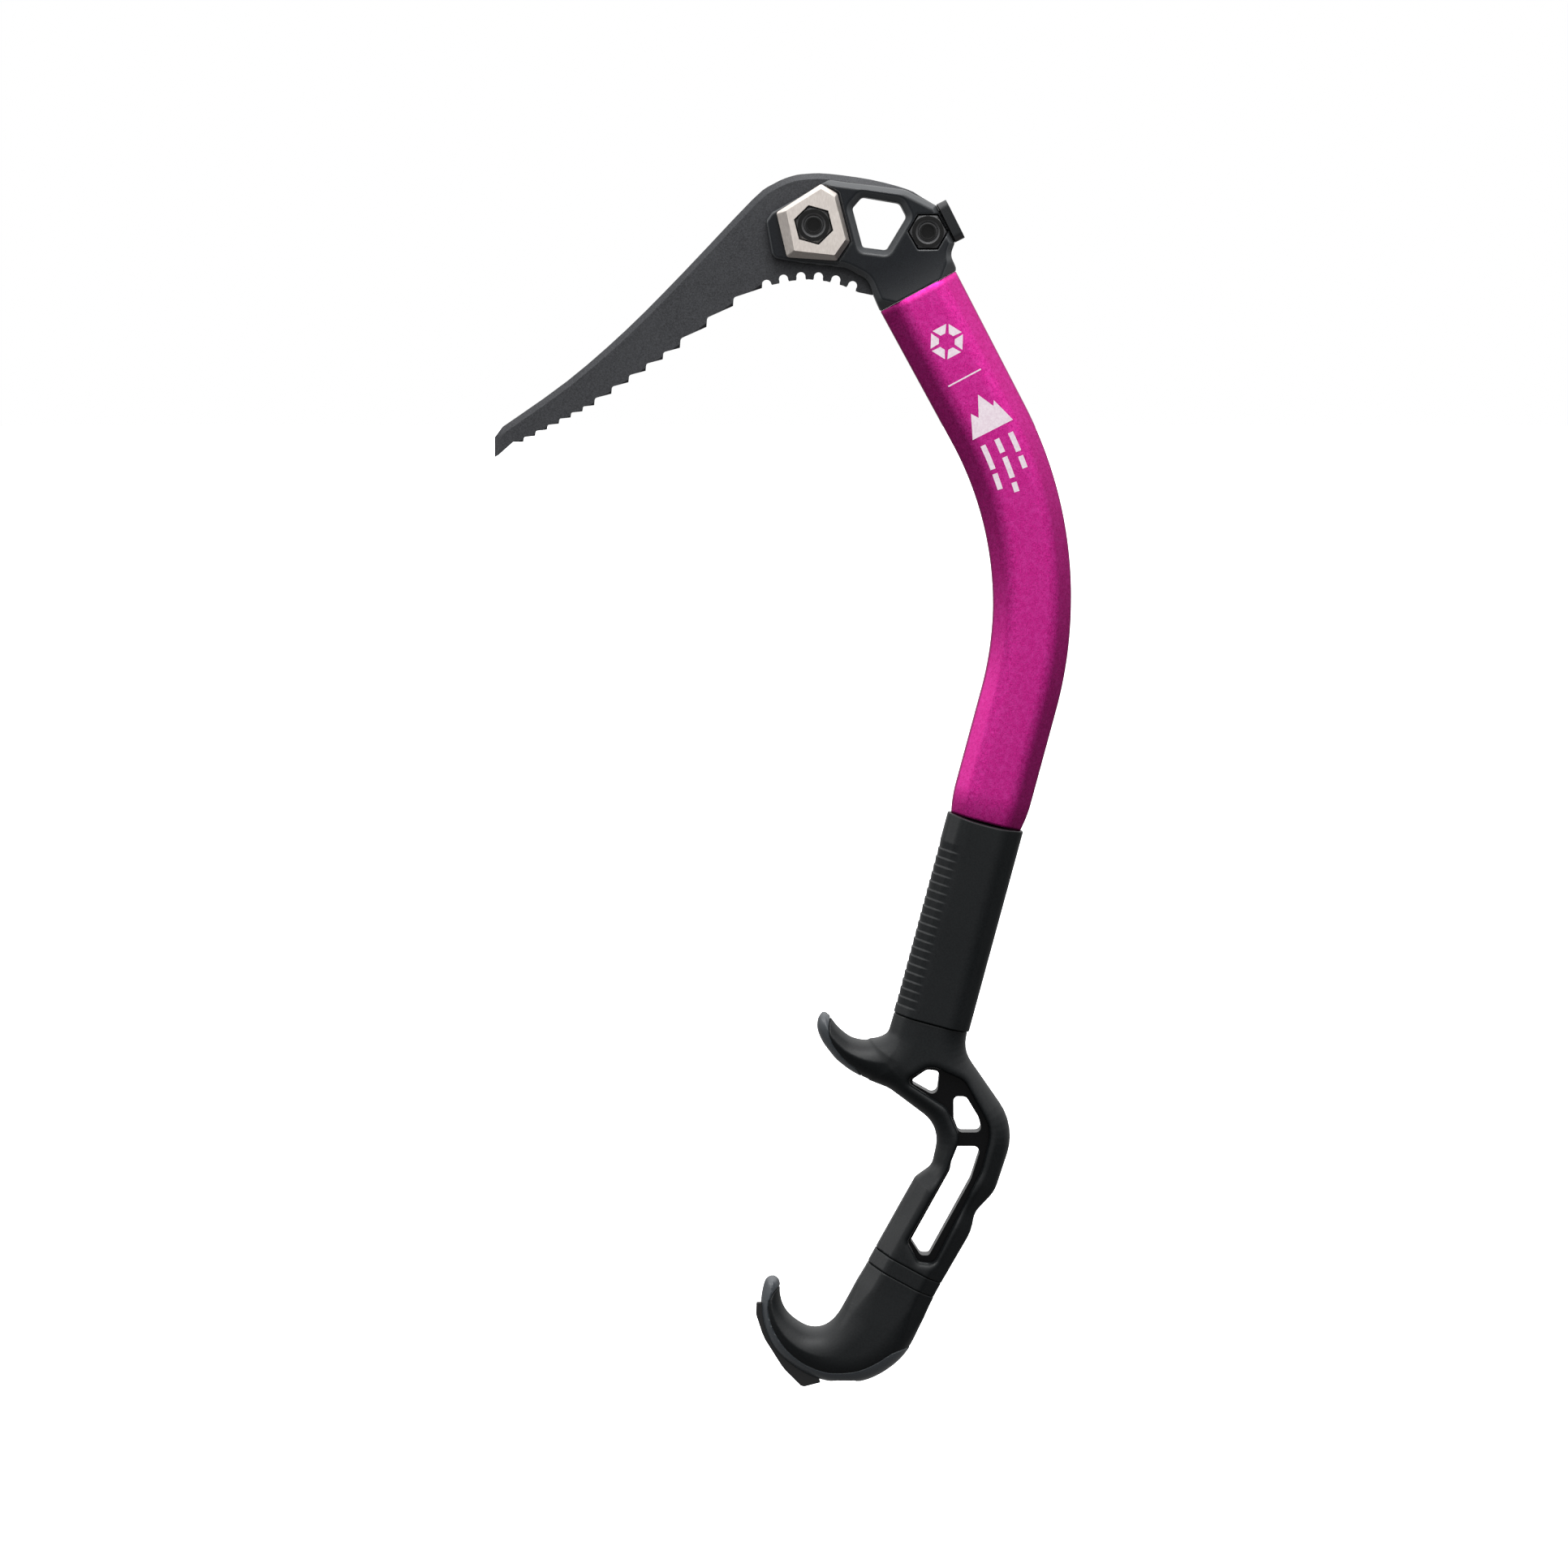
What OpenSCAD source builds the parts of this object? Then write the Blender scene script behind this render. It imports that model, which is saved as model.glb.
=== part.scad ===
// Technical ice-climbing tool: a bolted pick and hammer in a forked head, a bent oval shaft,
// a grip sleeve and a windowed handle with two hand rests, the lower one screwed on.
// Frame: X runs from the pick's tip (-X) to the hammer (+X), Z is up, Y is the thickness.
// The origin is the centre of the window in the head. Outlines lie in the X-Z plane,
// and list their corners anticlockwise as seen from -Y, each as [x, z, corner radius].

/* [Pick] */
// Thickness of the pick plate
pick_t = 4; // [3.5:0.1:4]
// Width of the bevel along the pick's back
spine_bevel = 2.4; // [1:0.1:3]
// Depth of the flat ground on the tip side of each tooth
tooth_bevel = 1.6; // [0.8:0.1:1.8]
// Diameter of the round gripping notches under the head
notch_d = 3.7; // [2.8:0.1:4]

/* [Head] */
// Thickness of the head across its cheeks
head_t = 20; // [18:0.5:22]
// Thickness of the head where the pick weights sit
seat_t = 16; // [14:0.5:16]
// Height of one pick weight above its seat
weight_t = 6; // [5:0.5:7]
// Nominal diameter of the pick and hammer bolts
bolt_d = 8; // [7:0.5:8]
// Nut width across its flats
nut_af = 13.2; // [12:0.1:13.4]
// Thickness of the hammer plate
hammer_t = 4; // [3:0.5:5]
// Width of the hammer plate across the tool
hammer_w = 20; // [16:1:24]

/* [Shaft] */
// Lean of the upper shaft from vertical, in degrees
upper_lean = 28.1; // [27.9:0.1:28.3]
// Radius of the bend on the shaft's centre line
bend_r = 154.6; // [154:0.1:155]
// Width of the shaft at the head
shaft_top_w = 34.7; // [34:0.1:35]
// Width of the shaft below the bend
shaft_w = 31.9; // [31:0.1:33]
// Thickness of the shaft
shaft_t = 23; // [22:0.5:24]
// Wall of the shaft tube
shaft_wall = 2; // [1.6:0.1:2.4]

/* [Handle] */
// Width of the grip sleeve
grip_w = 32; // [31.5:0.1:32.5]
// Thickness of the grip sleeve
grip_t = 25; // [24:0.5:26]
// Number of grooves in the grip sleeve
groove_count = 20; // [12:1:21]
// Thickness of the handle's arms
handle_t = 23; // [21:0.5:24]
// Thickness of the handle's stiff frame
frame_t = 11; // [10:0.5:12]
// Thickness of the spacer ring
spacer_h = 6.6; // [5:0.2:8]
// Width of the lower handle, the spacer and the top of the pommel
lower_w = 30.7; // [30:0.1:31]
// Thickness of the spike plate
spike_t = 4; // [3:0.5:5]

/* [Hidden] */
$fn = 48;
// Largest turn between two points of a rounded corner, in degrees
corner_step = 15;
// Gap between parts that are assembled with clearance, and running gap of a shank in its hole
gap = 0.1;
run_gap = 0.05;
// Reach of a cut that goes right through the tool
through = 60;

// Places of the two bolts in the head
pick_bolt_at = [-26.7, -0.3];
hammer_bolt_at = [19.8, -3];
// Radius of a bolt's head and of the clearance round it, and heights of the nut and washer
head_r = 6.4;
head_room_r = head_r + 0.8;
nut_h = 5.4;
washer_h = 1.2;
// Width of a nut's pocket, distance of the rear pockets' floors from the middle, pick's slot
pocket_af = nut_af + 1.2;
pocket_floor = head_t / 2 - nut_h;
slot_t = pick_t + 2 * gap;

// Shaft line: start at the head, straight length above the bend, length of the bend, and
// lean below it
collar_at = [16, -27];
straight_l = 60.9;
lower_lean = -15;
bend_l = bend_r * (upper_lean - lower_lean) * PI / 180;
// Distances down the line where the grip starts and ends, and where the tube ends
grip_s = 229.4;
grip_end_s = 315;
tube_end_s = 306;
// Neck of the tube under the grip, the handle's tang inside it, and the pins through both
neck_w = 26;
neck_t = 18;
tang_w = 16;
pin_r = 2.5;
pin_places = [tube_end_s - 12, tube_end_s - 34];

// Lower handle: centre of the joint with the spacer, and lean of its axis from vertical
joint_at = [12.65, -427.6];
pommel_lean = -28.8;
// The pommel's two prongs: distance from the axis, width, thickness and length
prong_x = 9.7;
prong_w = 4.4;
prong_t = 6.4;
prong_l = 22;
// Pommel bolt: its radius, the threaded insert above the joint, and depth of its seat below
pommel_bolt_r = 3;
insert_l = 5.6;
insert_r = 4.2;
bore_bottom = 42;
// Thickness of the pommel's core
arm_t = 13;

// ---------- outlines and surfaces ----------

function unit(v) = v / norm(v);
function left(v) = [-v[1], v[0]];
function cross2(u, v) = u[0] * v[1] - u[1] * v[0];
function turned(v, a) = [v[0] * cos(a) - v[1] * sin(a), v[0] * sin(a) + v[1] * cos(a)];
function flat(p) = [p[0], p[1]];

// Corner b between its neighbours a and c, moved inwards by d and rounded to radius r
function corner(a, b, c, r, d) =
    let (u = unit(flat(b) - flat(a)),
         v = unit(flat(c) - flat(b)),
         mitre = (left(u) + left(v)) / (1 + u * v),
         angle = atan2(cross2(u, v), u * v),
         side = angle < 0 ? -1 : 1,
         radius = max(r - side * d, 0.15),
         centre = flat(b) + mitre * (d + side * radius),
         steps = max(1, ceil(abs(angle) / corner_step)))
    r == 0 ? [flat(b) + mitre * d]
           : [for (k = [0:steps]) centre - side * radius * turned(left(u), angle * k / steps)];

// Points of the rounded outline of corners c, moved inwards by d
function outline(c, d = 0) =
    [for (i = [0:len(c) - 1])
        each corner(c[(i + len(c) - 1) % len(c)], c[i], c[(i + 1) % len(c)],
                    len(c[i]) > 2 ? c[i][2] : 0, d)];

// Smooth curve through points p, with n steps between neighbours
function curve(p, n) =
    [for (i = [0:len(p) - 2], k = [0:n - 1])
        let (a = p[max(i - 1, 0)], b = p[i], c = p[i + 1], d = p[min(i + 2, len(p) - 1)], t = k / n)
        0.5 * (2 * b + (c - a) * t + (2 * a - 5 * b + 4 * c - d) * t * t
               + (3 * b - a - 3 * c + d) * t * t * t),
     p[len(p) - 1]];

// Triangles of an outline of points p, by clipping ears off its list of corners v
function in_triangle(q, a, b, c) =
    cross2(b - a, q - a) >= 0 && cross2(c - b, q - b) >= 0 && cross2(a - c, q - c) >= 0;
function is_ear(p, v, i) =
    let (n = len(v), a = p[v[(i + n - 1) % n]], b = p[v[i]], c = p[v[(i + 1) % n]])
    cross2(b - a, c - b) > 1e-6
    && len([for (k = [2:n - 2]) if (in_triangle(p[v[(i + k) % n]], a, b, c)) k]) == 0;
function first_ear(p, v, i = 0) = is_ear(p, v, i) ? i : first_ear(p, v, i + 1);
function ears(p, v) =
    len(v) == 3 ? [v]
    : let (n = len(v), i = first_ear(p, v))
      concat([[v[(i + n - 1) % n], v[i], v[(i + 1) % n]]],
             ears(p, [for (k = [0:n - 1]) if (k != i) v[k]]));

// Solid skin over a list of rings, capped by the triangles of caps, or without caps when
// looped, where the last ring joins the first
module skin(rings, caps, looped = false) {
    n = len(rings[0]);
    m = len(rings);
    sides = [for (i = [0:(looped ? m - 1 : m - 2)], k = [0:n - 1])
        let (a = i * n, b = ((i + 1) % m) * n, k2 = (k + 1) % n)
        [a + k, a + k2, b + k2, b + k]];
    ends = looped ? [] : [for (t = caps) each [[t[2], t[1], t[0]], t + (m - 1) * n * [1, 1, 1]]];
    polyhedron([for (r = rings) each r], concat(sides, ends));
}

// Fan of triangles that caps a ring of n points with no hollows
function fan(n) = [for (k = [1:n - 2]) [0, k, k + 1]];

// Skin over rings of plan points [x, z], each at its own y
module stack(plans, heights) {
    skin([for (i = [0:len(plans) - 1]) [for (p = plans[i]) [p[0], heights[i], p[1]]]],
         ears(plans[0], [for (k = [0:len(plans[0]) - 1]) k]));
}

// Outline c lofted through layers of [y, inset]
module slab(c, layers) {
    stack([for (l = layers) outline(c, l[1])], [for (l = layers) l[0]]);
}

// Symmetric layers of half thickness h, with its edges rounded back by r over the depth e
function round_layers(h, r, e, n) =
    let (near = [for (k = [0:n]) [-h + e * (1 - cos(90 * k / n)), r * (1 - sin(90 * k / n))]])
    concat(near, [for (k = [n:-1:0]) [-near[k][0], near[k][1]]]);

// Flat plate of outline c and thickness t in the X-Z plane, centred on y = 0
module plate(c, t) {
    rotate([90, 0, 0]) linear_extrude(height = t, center = true) polygon(outline(c));
}

// Round bar or bore along Y at the point p
module cross_bar(p, r, length) {
    translate([p[0], 0, p[1]]) rotate([90, 0, 0]) cylinder(h = length, r = r, center = true);
}

// Hexagonal bar along Y at p, across flats af, turned by a degrees, from y0 to y1
module hex_bar(p, af, a, y0, y1) {
    translate([p[0], y1, p[1]]) rotate([90, a, 0])
        cylinder(h = y1 - y0, r = af / sqrt(3), $fn = 6);
}

// Faceted oval section of width 2 and thickness 2, with flat faces and rounded edges
unit_section = outline([[1, -0.34, 0.25], [1, 0.34, 0.25], [0.56, 1, 0.35], [-0.56, 1, 0.35],
                        [-1, 0.34, 0.25], [-1, -0.34, 0.25], [-0.56, -1, 0.35], [0.56, -1, 0.35]]);

// Ring of the section between two rail points a and b, with thickness t
function rail_ring(a, b, t) =
    [for (s = unit_section)
        let (p = (a + b) / 2 + (b - a) / 2 * s[0])
        [p[0], t / 2 * s[1], p[1]]];

// Loft along stations of [inner point, outer point, thickness], smoothed by n steps
module horn(stations, n) {
    inner = curve([for (s = stations) s[0]], n);
    outer = curve([for (s = stations) s[1]], n);
    depth = curve([for (s = stations) s[2]], n);
    skin([for (i = [0:len(inner) - 1]) rail_ring(inner[i], outer[i], depth[i])],
         fan(len(unit_section)));
}

// ---------- the shaft line ----------

function lean_dir(a) = [sin(a), -cos(a)];
bend_centre = collar_at + straight_l * lean_dir(upper_lean) - bend_r * left(lean_dir(upper_lean));
bend_end = bend_centre + bend_r * left(lean_dir(lower_lean));

// Lean of the shaft and the point of its line at distance s below the head
function shaft_lean(s) =
    s < straight_l ? upper_lean
    : s > straight_l + bend_l ? lower_lean
    : upper_lean - (s - straight_l) * 180 / PI / bend_r;
function shaft_point(s) =
    s < straight_l ? collar_at + s * lean_dir(upper_lean)
    : s > straight_l + bend_l ? bend_end + (s - straight_l - bend_l) * lean_dir(lower_lean)
    : bend_centre + bend_r * left(lean_dir(shaft_lean(s)));

// Full width of the shaft at distance s: it tapers into the bend
function shaft_width(s) = shaft_top_w - (shaft_top_w - shaft_w) * min(1, max(0, s / 140));

// Ring of the shaft's section at distance s, w wide and t thick
function shaft_ring(s, w, t) =
    let (p = shaft_point(s), across = left(lean_dir(shaft_lean(s))) * w / 2)
    rail_ring(p - across, p + across, t);

// Frame of the shaft at distance s: local Z points up the shaft, local X across it
module at_shaft(s) {
    p = shaft_point(s);
    translate([p[0], 0, p[1]]) rotate([0, -shaft_lean(s), 0]) children();
}

// Frame of the lower handle: local Z points up its axis from the spacer's upper joint
module at_pommel() {
    translate([joint_at[0], 0, joint_at[1]]) rotate([0, -pommel_lean, 0]) children();
}

// Faceted oval bar of width w and thickness t between the local heights z0 and z1
module oval_bar(w, t, z0, z1) {
    translate([0, 0, z0]) linear_extrude(height = z1 - z0)
        polygon([for (s = unit_section) [s[0] * w / 2, s[1] * t / 2]]);
}

// Plain bar of width w and thickness t between the local heights z0 and z1, centred at x
module flat_bar(x, w, t, z0, z1) {
    translate([x - w / 2, -t / 2, z0]) cube([w, t, z1 - z0]);
}

// ---------- pick ----------

// Teeth from the head to the tip, in groups of [count, pitch, depth, slope of the row]
tooth_groups = [[1, 13.9, 3.5, 31.7], [2, 13.8, 3.8, 38.1], [5, 8.44, 2.9, 33.7],
                [6, 5.44, 2, 27.3]];
tooth_start = [-47.7, -25.7];
teeth = [for (g = tooth_groups, i = [1:g[0]]) [g[1], g[2], g[3]]];
tips = [for (i = 0, p = tooth_start; i <= len(teeth);
             p = i < len(teeth) ? p - teeth[i][0] * [cos(teeth[i][2]), sin(teeth[i][2])] : p,
             i = i + 1) p];

// Gripping notches: their round roots lie on an arc under the head, and they open towards
// its centre
arch_centre = [-28.9, -67];
arch_r = 46.05;
notch_angles = [for (k = [0:5]) -21.5 + 8.95 * k];
module notch(a) {
    translate([arch_centre[0], 0, arch_centre[1]]) rotate([0, a, 0]) {
        cross_bar([0, arch_r], notch_d / 2, through);
        rotate([90, 0, 0]) linear_extrude(height = through, center = true)
            polygon([[-notch_d * 0.46, arch_r], [-notch_d * 0.74, arch_r - 4.5],
                     [notch_d * 0.74, arch_r - 4.5], [notch_d * 0.46, arch_r]]);
    }
}

// The pick's back from the head to the tip; b moves it inwards
back_points = [[23.4, 7.8], [17.5, 11.2], [11.5, 14.5], [-3.3, 18.4], [-20.7, 20.8],
               [-29.3, 20.8], [-35.7, 19.8], [-43.2, 16.6], [-51.7, 10.2], [-79.7, -19.2],
               [-103.3, -42.8], [-127.5, -63.7], [-154, -82.4]];
function back(b) =
    let (p = curve(back_points, 3), n = len(p))
    [for (i = [0:n - 1])
        p[i] + b * left(unit(p[min(i + 1, n - 1)] - p[max(i - 1, 0)]))];

// Pick outline with its back moved in by b and its tooth tips ground back by g
function pick_outline(b, g) =
    concat(back(b),
           [[-157 + b, -86.5], [-157 + 0.6 * b, -94.6 + g / 2], [-149.5, -88.4]],
           [for (i = [len(teeth):-1:1]) each tooth(i, g)],
           [tooth_start + [0, g], [-47.5, -23], [-46.9, -24.6], [-43.2, -24.3], [-35.7, -22.7],
            [-28.6, -22.1], [-21.3, -22.9], [-14.6, -24.7], [-8.3, -27.4], [-2.6, -28.6],
            [10, -14], [10.4, -6], [11.8, 2.6], [19.8, 5.8]]);

// Tooth i from its tip up its steep side, round its gullet and half way to the next tip;
// g grinds the face back at the tip
function tooth(i, g) =
    let (t = tips[i], top = t + [0.25, teeth[i - 1][1]], next = tips[i - 1])
    concat([t + (top - t) * g / 3.8],
           corner(t, top, next, 0.42 * teeth[i - 1][1], 0),
           [0.45 * top + 0.55 * next]);

module pick() {
    color([0.21, 0.22, 0.23])
    difference() {
        stack([pick_outline(spine_bevel, tooth_bevel), pick_outline(0, 0), pick_outline(0, 0),
               pick_outline(spine_bevel, tooth_bevel)],
              pick_t / 2 * [-1, -0.35, 0.35, 1]);
        for (a = notch_angles) notch(a);
        cross_bar(pick_bolt_at, bolt_d / 2 + run_gap, through);
        plate(window, through);
    }
}

// ---------- head ----------

window = [[-6.7, -9.2, 1.5], [3, -10.4, 2], [11.2, 3.2, 2], [8.4, 8.6, 2.5], [-6.9, 11.2, 2],
          [-10.9, 6.6, 2]];
cheek = [[1.7, -34.5], [30.4, -19.1], [29, -12.4, 5], [30.9, -7.3, 2],
         [23.2, 7.8, 2], [10.5, 14.2, 8], [-20.5, 18.2, 3.5], [-43.8, 5, 2.5],
         [-46.2, 1.4, 3], [-43.5, -13.8, 3.5], [-32, -15.6, 8], [-14, -17.6, 10],
         [-5, -22, 8]];
// Outline of a weight and of its raised face
weight = [[-37.5, -13.3, 1.2], [-17.4, -14.7, 1.2], [-12, -7, 1.2], [-17, 12.4, 1.2],
          [-23.7, 16.3, 1.2], [-41.8, 4.8, 1.2]];
weight_face = [[-34.5, -10.7, 0.5], [-18.2, -12.5, 0.5], [-13.7, -6.1, 0.5], [-18.2, 11, 0.5],
               [-23.7, 14.3, 0.5], [-37.8, 5.5, 0.5]];
// Region of the head lowered for the weights
seat = [[-60, -40], [-17.2, -40], [-16.6, -15.4], [-11.2, -7.1], [-16.3, 13], [-23.5, 17.2],
        [-24, 40], [-60, 40]];

// Part of the head that the lowered seats take away, on the side given by the sign s
module seat_cut(s) {
    translate([0, s * (seat_t / 2 + 5), 0]) plate(seat, 10);
}

// Rounded collar that meets the shaft
module collar() {
    at_shaft(0) oval_bar(shaft_top_w, shaft_t, 0, 9);
}

// Plug inside the top of the shaft
module plug() {
    at_shaft(0) oval_bar(shaft_top_w - 2 * shaft_wall - 2, shaft_t - 2 * shaft_wall - 1.6, -32, 1);
}

module head() {
    color([0.1, 0.11, 0.13])
    difference() {
        union() {
            slab(cheek, [[-head_t / 2, 2.2], [-head_t / 2 + 0.7, 1], [-head_t / 2 + 2, 0],
                         [head_t / 2 - 2, 0], [head_t / 2 - 0.7, 1], [head_t / 2, 2.2]]);
            collar();
            plug();
        }
        seat_cut(-1);
        seat_cut(1);
        // Slot for the pick and the hammer's tab
        plate([[-60, -40], [-2.2, -40], [-1.6, -28.6], [10.4, -14.4], [40, -14.4], [40, 40],
               [-60, 40]], slot_t);
        slab(window, [[-head_t / 2 - 0.5, -2.7], [-head_t / 2 + 2.6, 0],
                      [head_t / 2 - 2.6, 0], [head_t / 2 + 0.5, -2.7]]);
        cross_bar(pick_bolt_at, bolt_d / 2 + run_gap, through);
        cross_bar(hammer_bolt_at, bolt_d / 2 + run_gap, through);
        // Rear pockets: hexagonal for the nut, round for the bolt's head
        hex_bar(hammer_bolt_at, pocket_af, 0, -through, -pocket_floor);
        translate([0, pocket_floor + through / 2, 0])
            cross_bar(hammer_bolt_at, head_room_r, through);
    }
}

// A weight on its seat: a low prism with bevelled sides and a pocket for the nut or bolt head
module weight_body(s) {
    mirror([0, s > 0 ? 1 : 0, 0]) {
        y0 = -seat_t / 2 - gap;
        difference() {
            stack([outline(weight_face), outline(weight), outline(weight)],
                  [y0 - weight_t, y0 - weight_t * 0.45, y0]);
            if (s < 0) hex_bar(pick_bolt_at, pocket_af, 15.5, -through, through);
            if (s > 0) cross_bar(pick_bolt_at, head_room_r, through);
        }
    }
}

module pick_weight_near() {
    color([0.72, 0.69, 0.66]) weight_body(-1);
}

module pick_weight_far() {
    color([0.72, 0.69, 0.66]) weight_body(1);
}

// Hexagon nut on the near side, with its outer edge chamfered, standing on the plane y
module nut(p, a, y) {
    color([0.07, 0.07, 0.08])
    difference() {
        intersection() {
            hex_bar(p, nut_af, a, y - nut_h, y);
            translate([p[0], y, p[1]]) rotate([90, 0, 0]) rotate_extrude()
                polygon([[0, 0], [nut_af * 0.6, 0], [nut_af * 0.6, nut_h - 1.2],
                         [nut_af * 0.49, nut_h], [0, nut_h]]);
        }
        cross_bar(p, bolt_d / 2 + run_gap, through);
        translate([p[0], y - nut_h, p[1]]) rotate([-90, 0, 0])
            cylinder(h = 1.4, r1 = bolt_d / 2 + 0.9, r2 = bolt_d / 2 - 0.5);
    }
}

module pick_nut() {
    nut(pick_bolt_at, 15.5, -seat_t / 2 - gap);
}

module hammer_nut() {
    nut(hammer_bolt_at, 0, -pocket_floor - gap);
}

// Washer under a bolt head, lying on the plane y
module washer(p, y) {
    color([0.3, 0.3, 0.32])
    translate([0, y + washer_h / 2, 0]) difference() {
        cross_bar(p, head_r, washer_h);
        cross_bar(p, bolt_d / 2 + run_gap, through);
    }
}

// Bolt from the far side: its head stands on the plane y, its point ends at y_end
module bolt(p, y, y_end) {
    head_h = 4.4;
    color([0.07, 0.07, 0.08])
    translate([p[0], 0, p[1]]) rotate([90, 0, 0]) difference() {
        rotate_extrude() polygon([[0, -y - head_h], [head_r - 0.6, -y - head_h],
            [head_r, -y - head_h + 0.6], [head_r, -y], [bolt_d / 2, -y], [bolt_d / 2, -y_end - 0.6],
            [bolt_d / 2 - 0.6, -y_end], [0, -y_end]]);
        // Hexagon socket in the head and round recess in the point
        translate([0, 0, -y - head_h - 1]) cylinder(h = 3.6, r = 5 / sqrt(3), $fn = 6);
        translate([0, 0, -y_end - 3.6]) cylinder(h = 5, r = 2.7);
    }
}

module pick_washer() {
    washer(pick_bolt_at, seat_t / 2 + gap);
}

module pick_bolt() {
    bolt(pick_bolt_at, seat_t / 2 + gap + washer_h + run_gap, -seat_t / 2 - nut_h + 0.6);
}

module hammer_washer() {
    washer(hammer_bolt_at, pocket_floor + gap);
}

module hammer_bolt() {
    bolt(hammer_bolt_at, pocket_floor + gap + washer_h + run_gap, -head_t / 2 + 0.5);
}

// Hammer: an eye round the rear bolt in the head's slot, and a striking plate across the tool
hammer_top = [25.3, 9.2];
hammer_foot = [33.1, -6.2];
module hammer() {
    along = unit(hammer_foot - hammer_top);
    color([0.12, 0.12, 0.13])
    difference() {
        union() {
            plate([[19.8, -10.6, 7], [26.5, -11.4, 2], [31.8, -6, 1], [26, 6.5, 1],
                   [21.5, 4.2, 1], [14, 3.9, 4], [12.2, -3, 5]], pick_t);
            // Striking plate with rounded corners
            translate([(hammer_top[0] + hammer_foot[0]) / 2, 0, (hammer_top[1] + hammer_foot[1]) / 2])
                rotate([0, atan2(-along[1], along[0]), 0])
                linear_extrude(height = hammer_t, center = true)
                polygon(outline([[-8.6, -hammer_w / 2, 3], [8.6, -hammer_w / 2, 3],
                                 [8.6, hammer_w / 2, 3], [-8.6, hammer_w / 2, 3]]));
        }
        cross_bar(hammer_bolt_at, bolt_d / 2 + run_gap, through);
    }
}

// ---------- shaft and grip ----------

shaft_stations = [0, 30, straight_l, for (k = [1:14]) straight_l + bend_l * k / 14, 200,
                  grip_s - 9];
module shaft() {
    outer = concat(
        [for (s = shaft_stations) shaft_ring(s, shaft_width(s), shaft_t)],
        [shaft_ring(grip_s - 4, shaft_w - 0.8, shaft_t - 0.5),
         shaft_ring(grip_s - gap, shaft_w - 2.4, shaft_t - 1.6),
         shaft_ring(grip_s - gap, neck_w, neck_t), shaft_ring(tube_end_s, neck_w, neck_t)]);
    inner = concat(
        [shaft_ring(tube_end_s, neck_w - 2 * shaft_wall, neck_t - 2 * shaft_wall),
         shaft_ring(grip_s - 2, neck_w - 2 * shaft_wall, neck_t - 2 * shaft_wall)],
        [for (i = [len(shaft_stations) - 1:-1:0])
            let (s = shaft_stations[i])
            shaft_ring(s, shaft_width(s) - 2 * shaft_wall, shaft_t - 2 * shaft_wall)]);
    color([0.74, 0.13, 0.5])
    difference() {
        skin(concat(outer, inner), [], true);
        for (s = pin_places) cross_bar(shaft_point(s), pin_r, through);
    }
}

grip_l = grip_end_s - grip_s;
groove_pitch = 3.5;

// Groove across the finger side of the sleeve
module groove() {
    intersection() {
        difference() {
            oval_bar(grip_w + 4, grip_t + 4, 0, 0.9);
            oval_bar(grip_w - 1.4, grip_t - 1.2, -1, 2);
        }
        flat_bar(-grip_w / 2 - 4, grip_w / 2 + 6, 40, -1, 2);
    }
}

module upper_grip() {
    color([0.13, 0.14, 0.15])
    at_shaft(grip_end_s) difference() {
        oval_bar(grip_w, grip_t, 0, grip_l);
        oval_bar(neck_w + 2 * gap, neck_t + 2 * gap, -1, grip_l + 1);
        for (k = [0:groove_count - 1]) translate([0, 0, 5 + groove_pitch * k]) groove();
    }
}

// ---------- handle ----------

// Body of the handle: neck, outer arm, lower handle, inner arm and the root of the hand rest
handle_body = [[26.1, -435], [38.4, -413.6, 10], [40, -405.5, 6], [48.2, -396.8, 5],
               [57.2, -370.1, 24], [35.4, -338.6, 8], [37, -330.7], [6.6, -322.5],
               [3.2, -334, 6], [-9, -333.8], [-10.3, -347.8], [4, -354, 20],
               [25.6, -370.2, 13.5], [22.2, -386, 6], [15.4, -391, 4], [-0.8, -420.2]];
// Sunk web between the arms
web = [[23, -426, 3], [42.5, -387.5, 12], [46.6, -371, 14], [35.4, -350.5, 8], [21.5, -344, 6],
       [11.2, -350.4, 2], [28.2, -361.4, 8], [34, -374, 9], [28.5, -388, 12], [12.2, -416.8, 2],
       [16.6, -425.2, 2]];
small_window = [[24.2, -357.4, 2.4], [25.3, -346.6, 2], [20, -346, 3], [12.8, -351, 1.5]];
middle_window = [[31, -357, 2], [31.1, -366.5, 4], [33.2, -372, 2.2], [43, -372, 2.2],
                 [41.2, -365.5, 5], [36.2, -357.2, 2.4]];
long_window = [[31.2, -377.7, 2.5], [29.6, -387.5, 6], [13.5, -416.6, 1], [17.6, -423, 2.2],
               [21, -423, 1.5], [38.2, -391.5, 8], [42.6, -377.7, 2.5]];
// Frame core: the web and a margin under the arms
core = [[21.8, -434.9], [35.8, -407.5, 20], [47.2, -386.5, 12], [50.6, -371, 14],
        [37.5, -348, 8], [31.8, -339.5, 6], [29, -331], [12, -326.5], [12.5, -344, 6],
        [8.6, -351.5, 2], [25.2, -363.6, 8], [30.2, -374, 9], [24.5, -388, 12], [1.5, -423.8]];

// Everything below the joint with the spacer
module below_joint() {
    at_pommel() flat_bar(0, 60, 60, -30, 0);
}

// Slots for the pommel's two prongs
module prong_slots() {
    at_pommel() for (x = [-prong_x, prong_x])
        flat_bar(x, prong_w + 2 * gap, prong_t + 2 * gap, -1, prong_l + 2);
}

module handle_windows() {
    plate(small_window, through);
    plate(middle_window, through);
    plate(long_window, through);
}

// Stiff frame before its holes: core plate and the tang that enters the shaft
module frame_solid() {
    difference() {
        plate(core, frame_t);
        below_joint();
    }
    at_shaft(grip_end_s) flat_bar(0, tang_w, 9, -14, 54);
}

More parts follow.
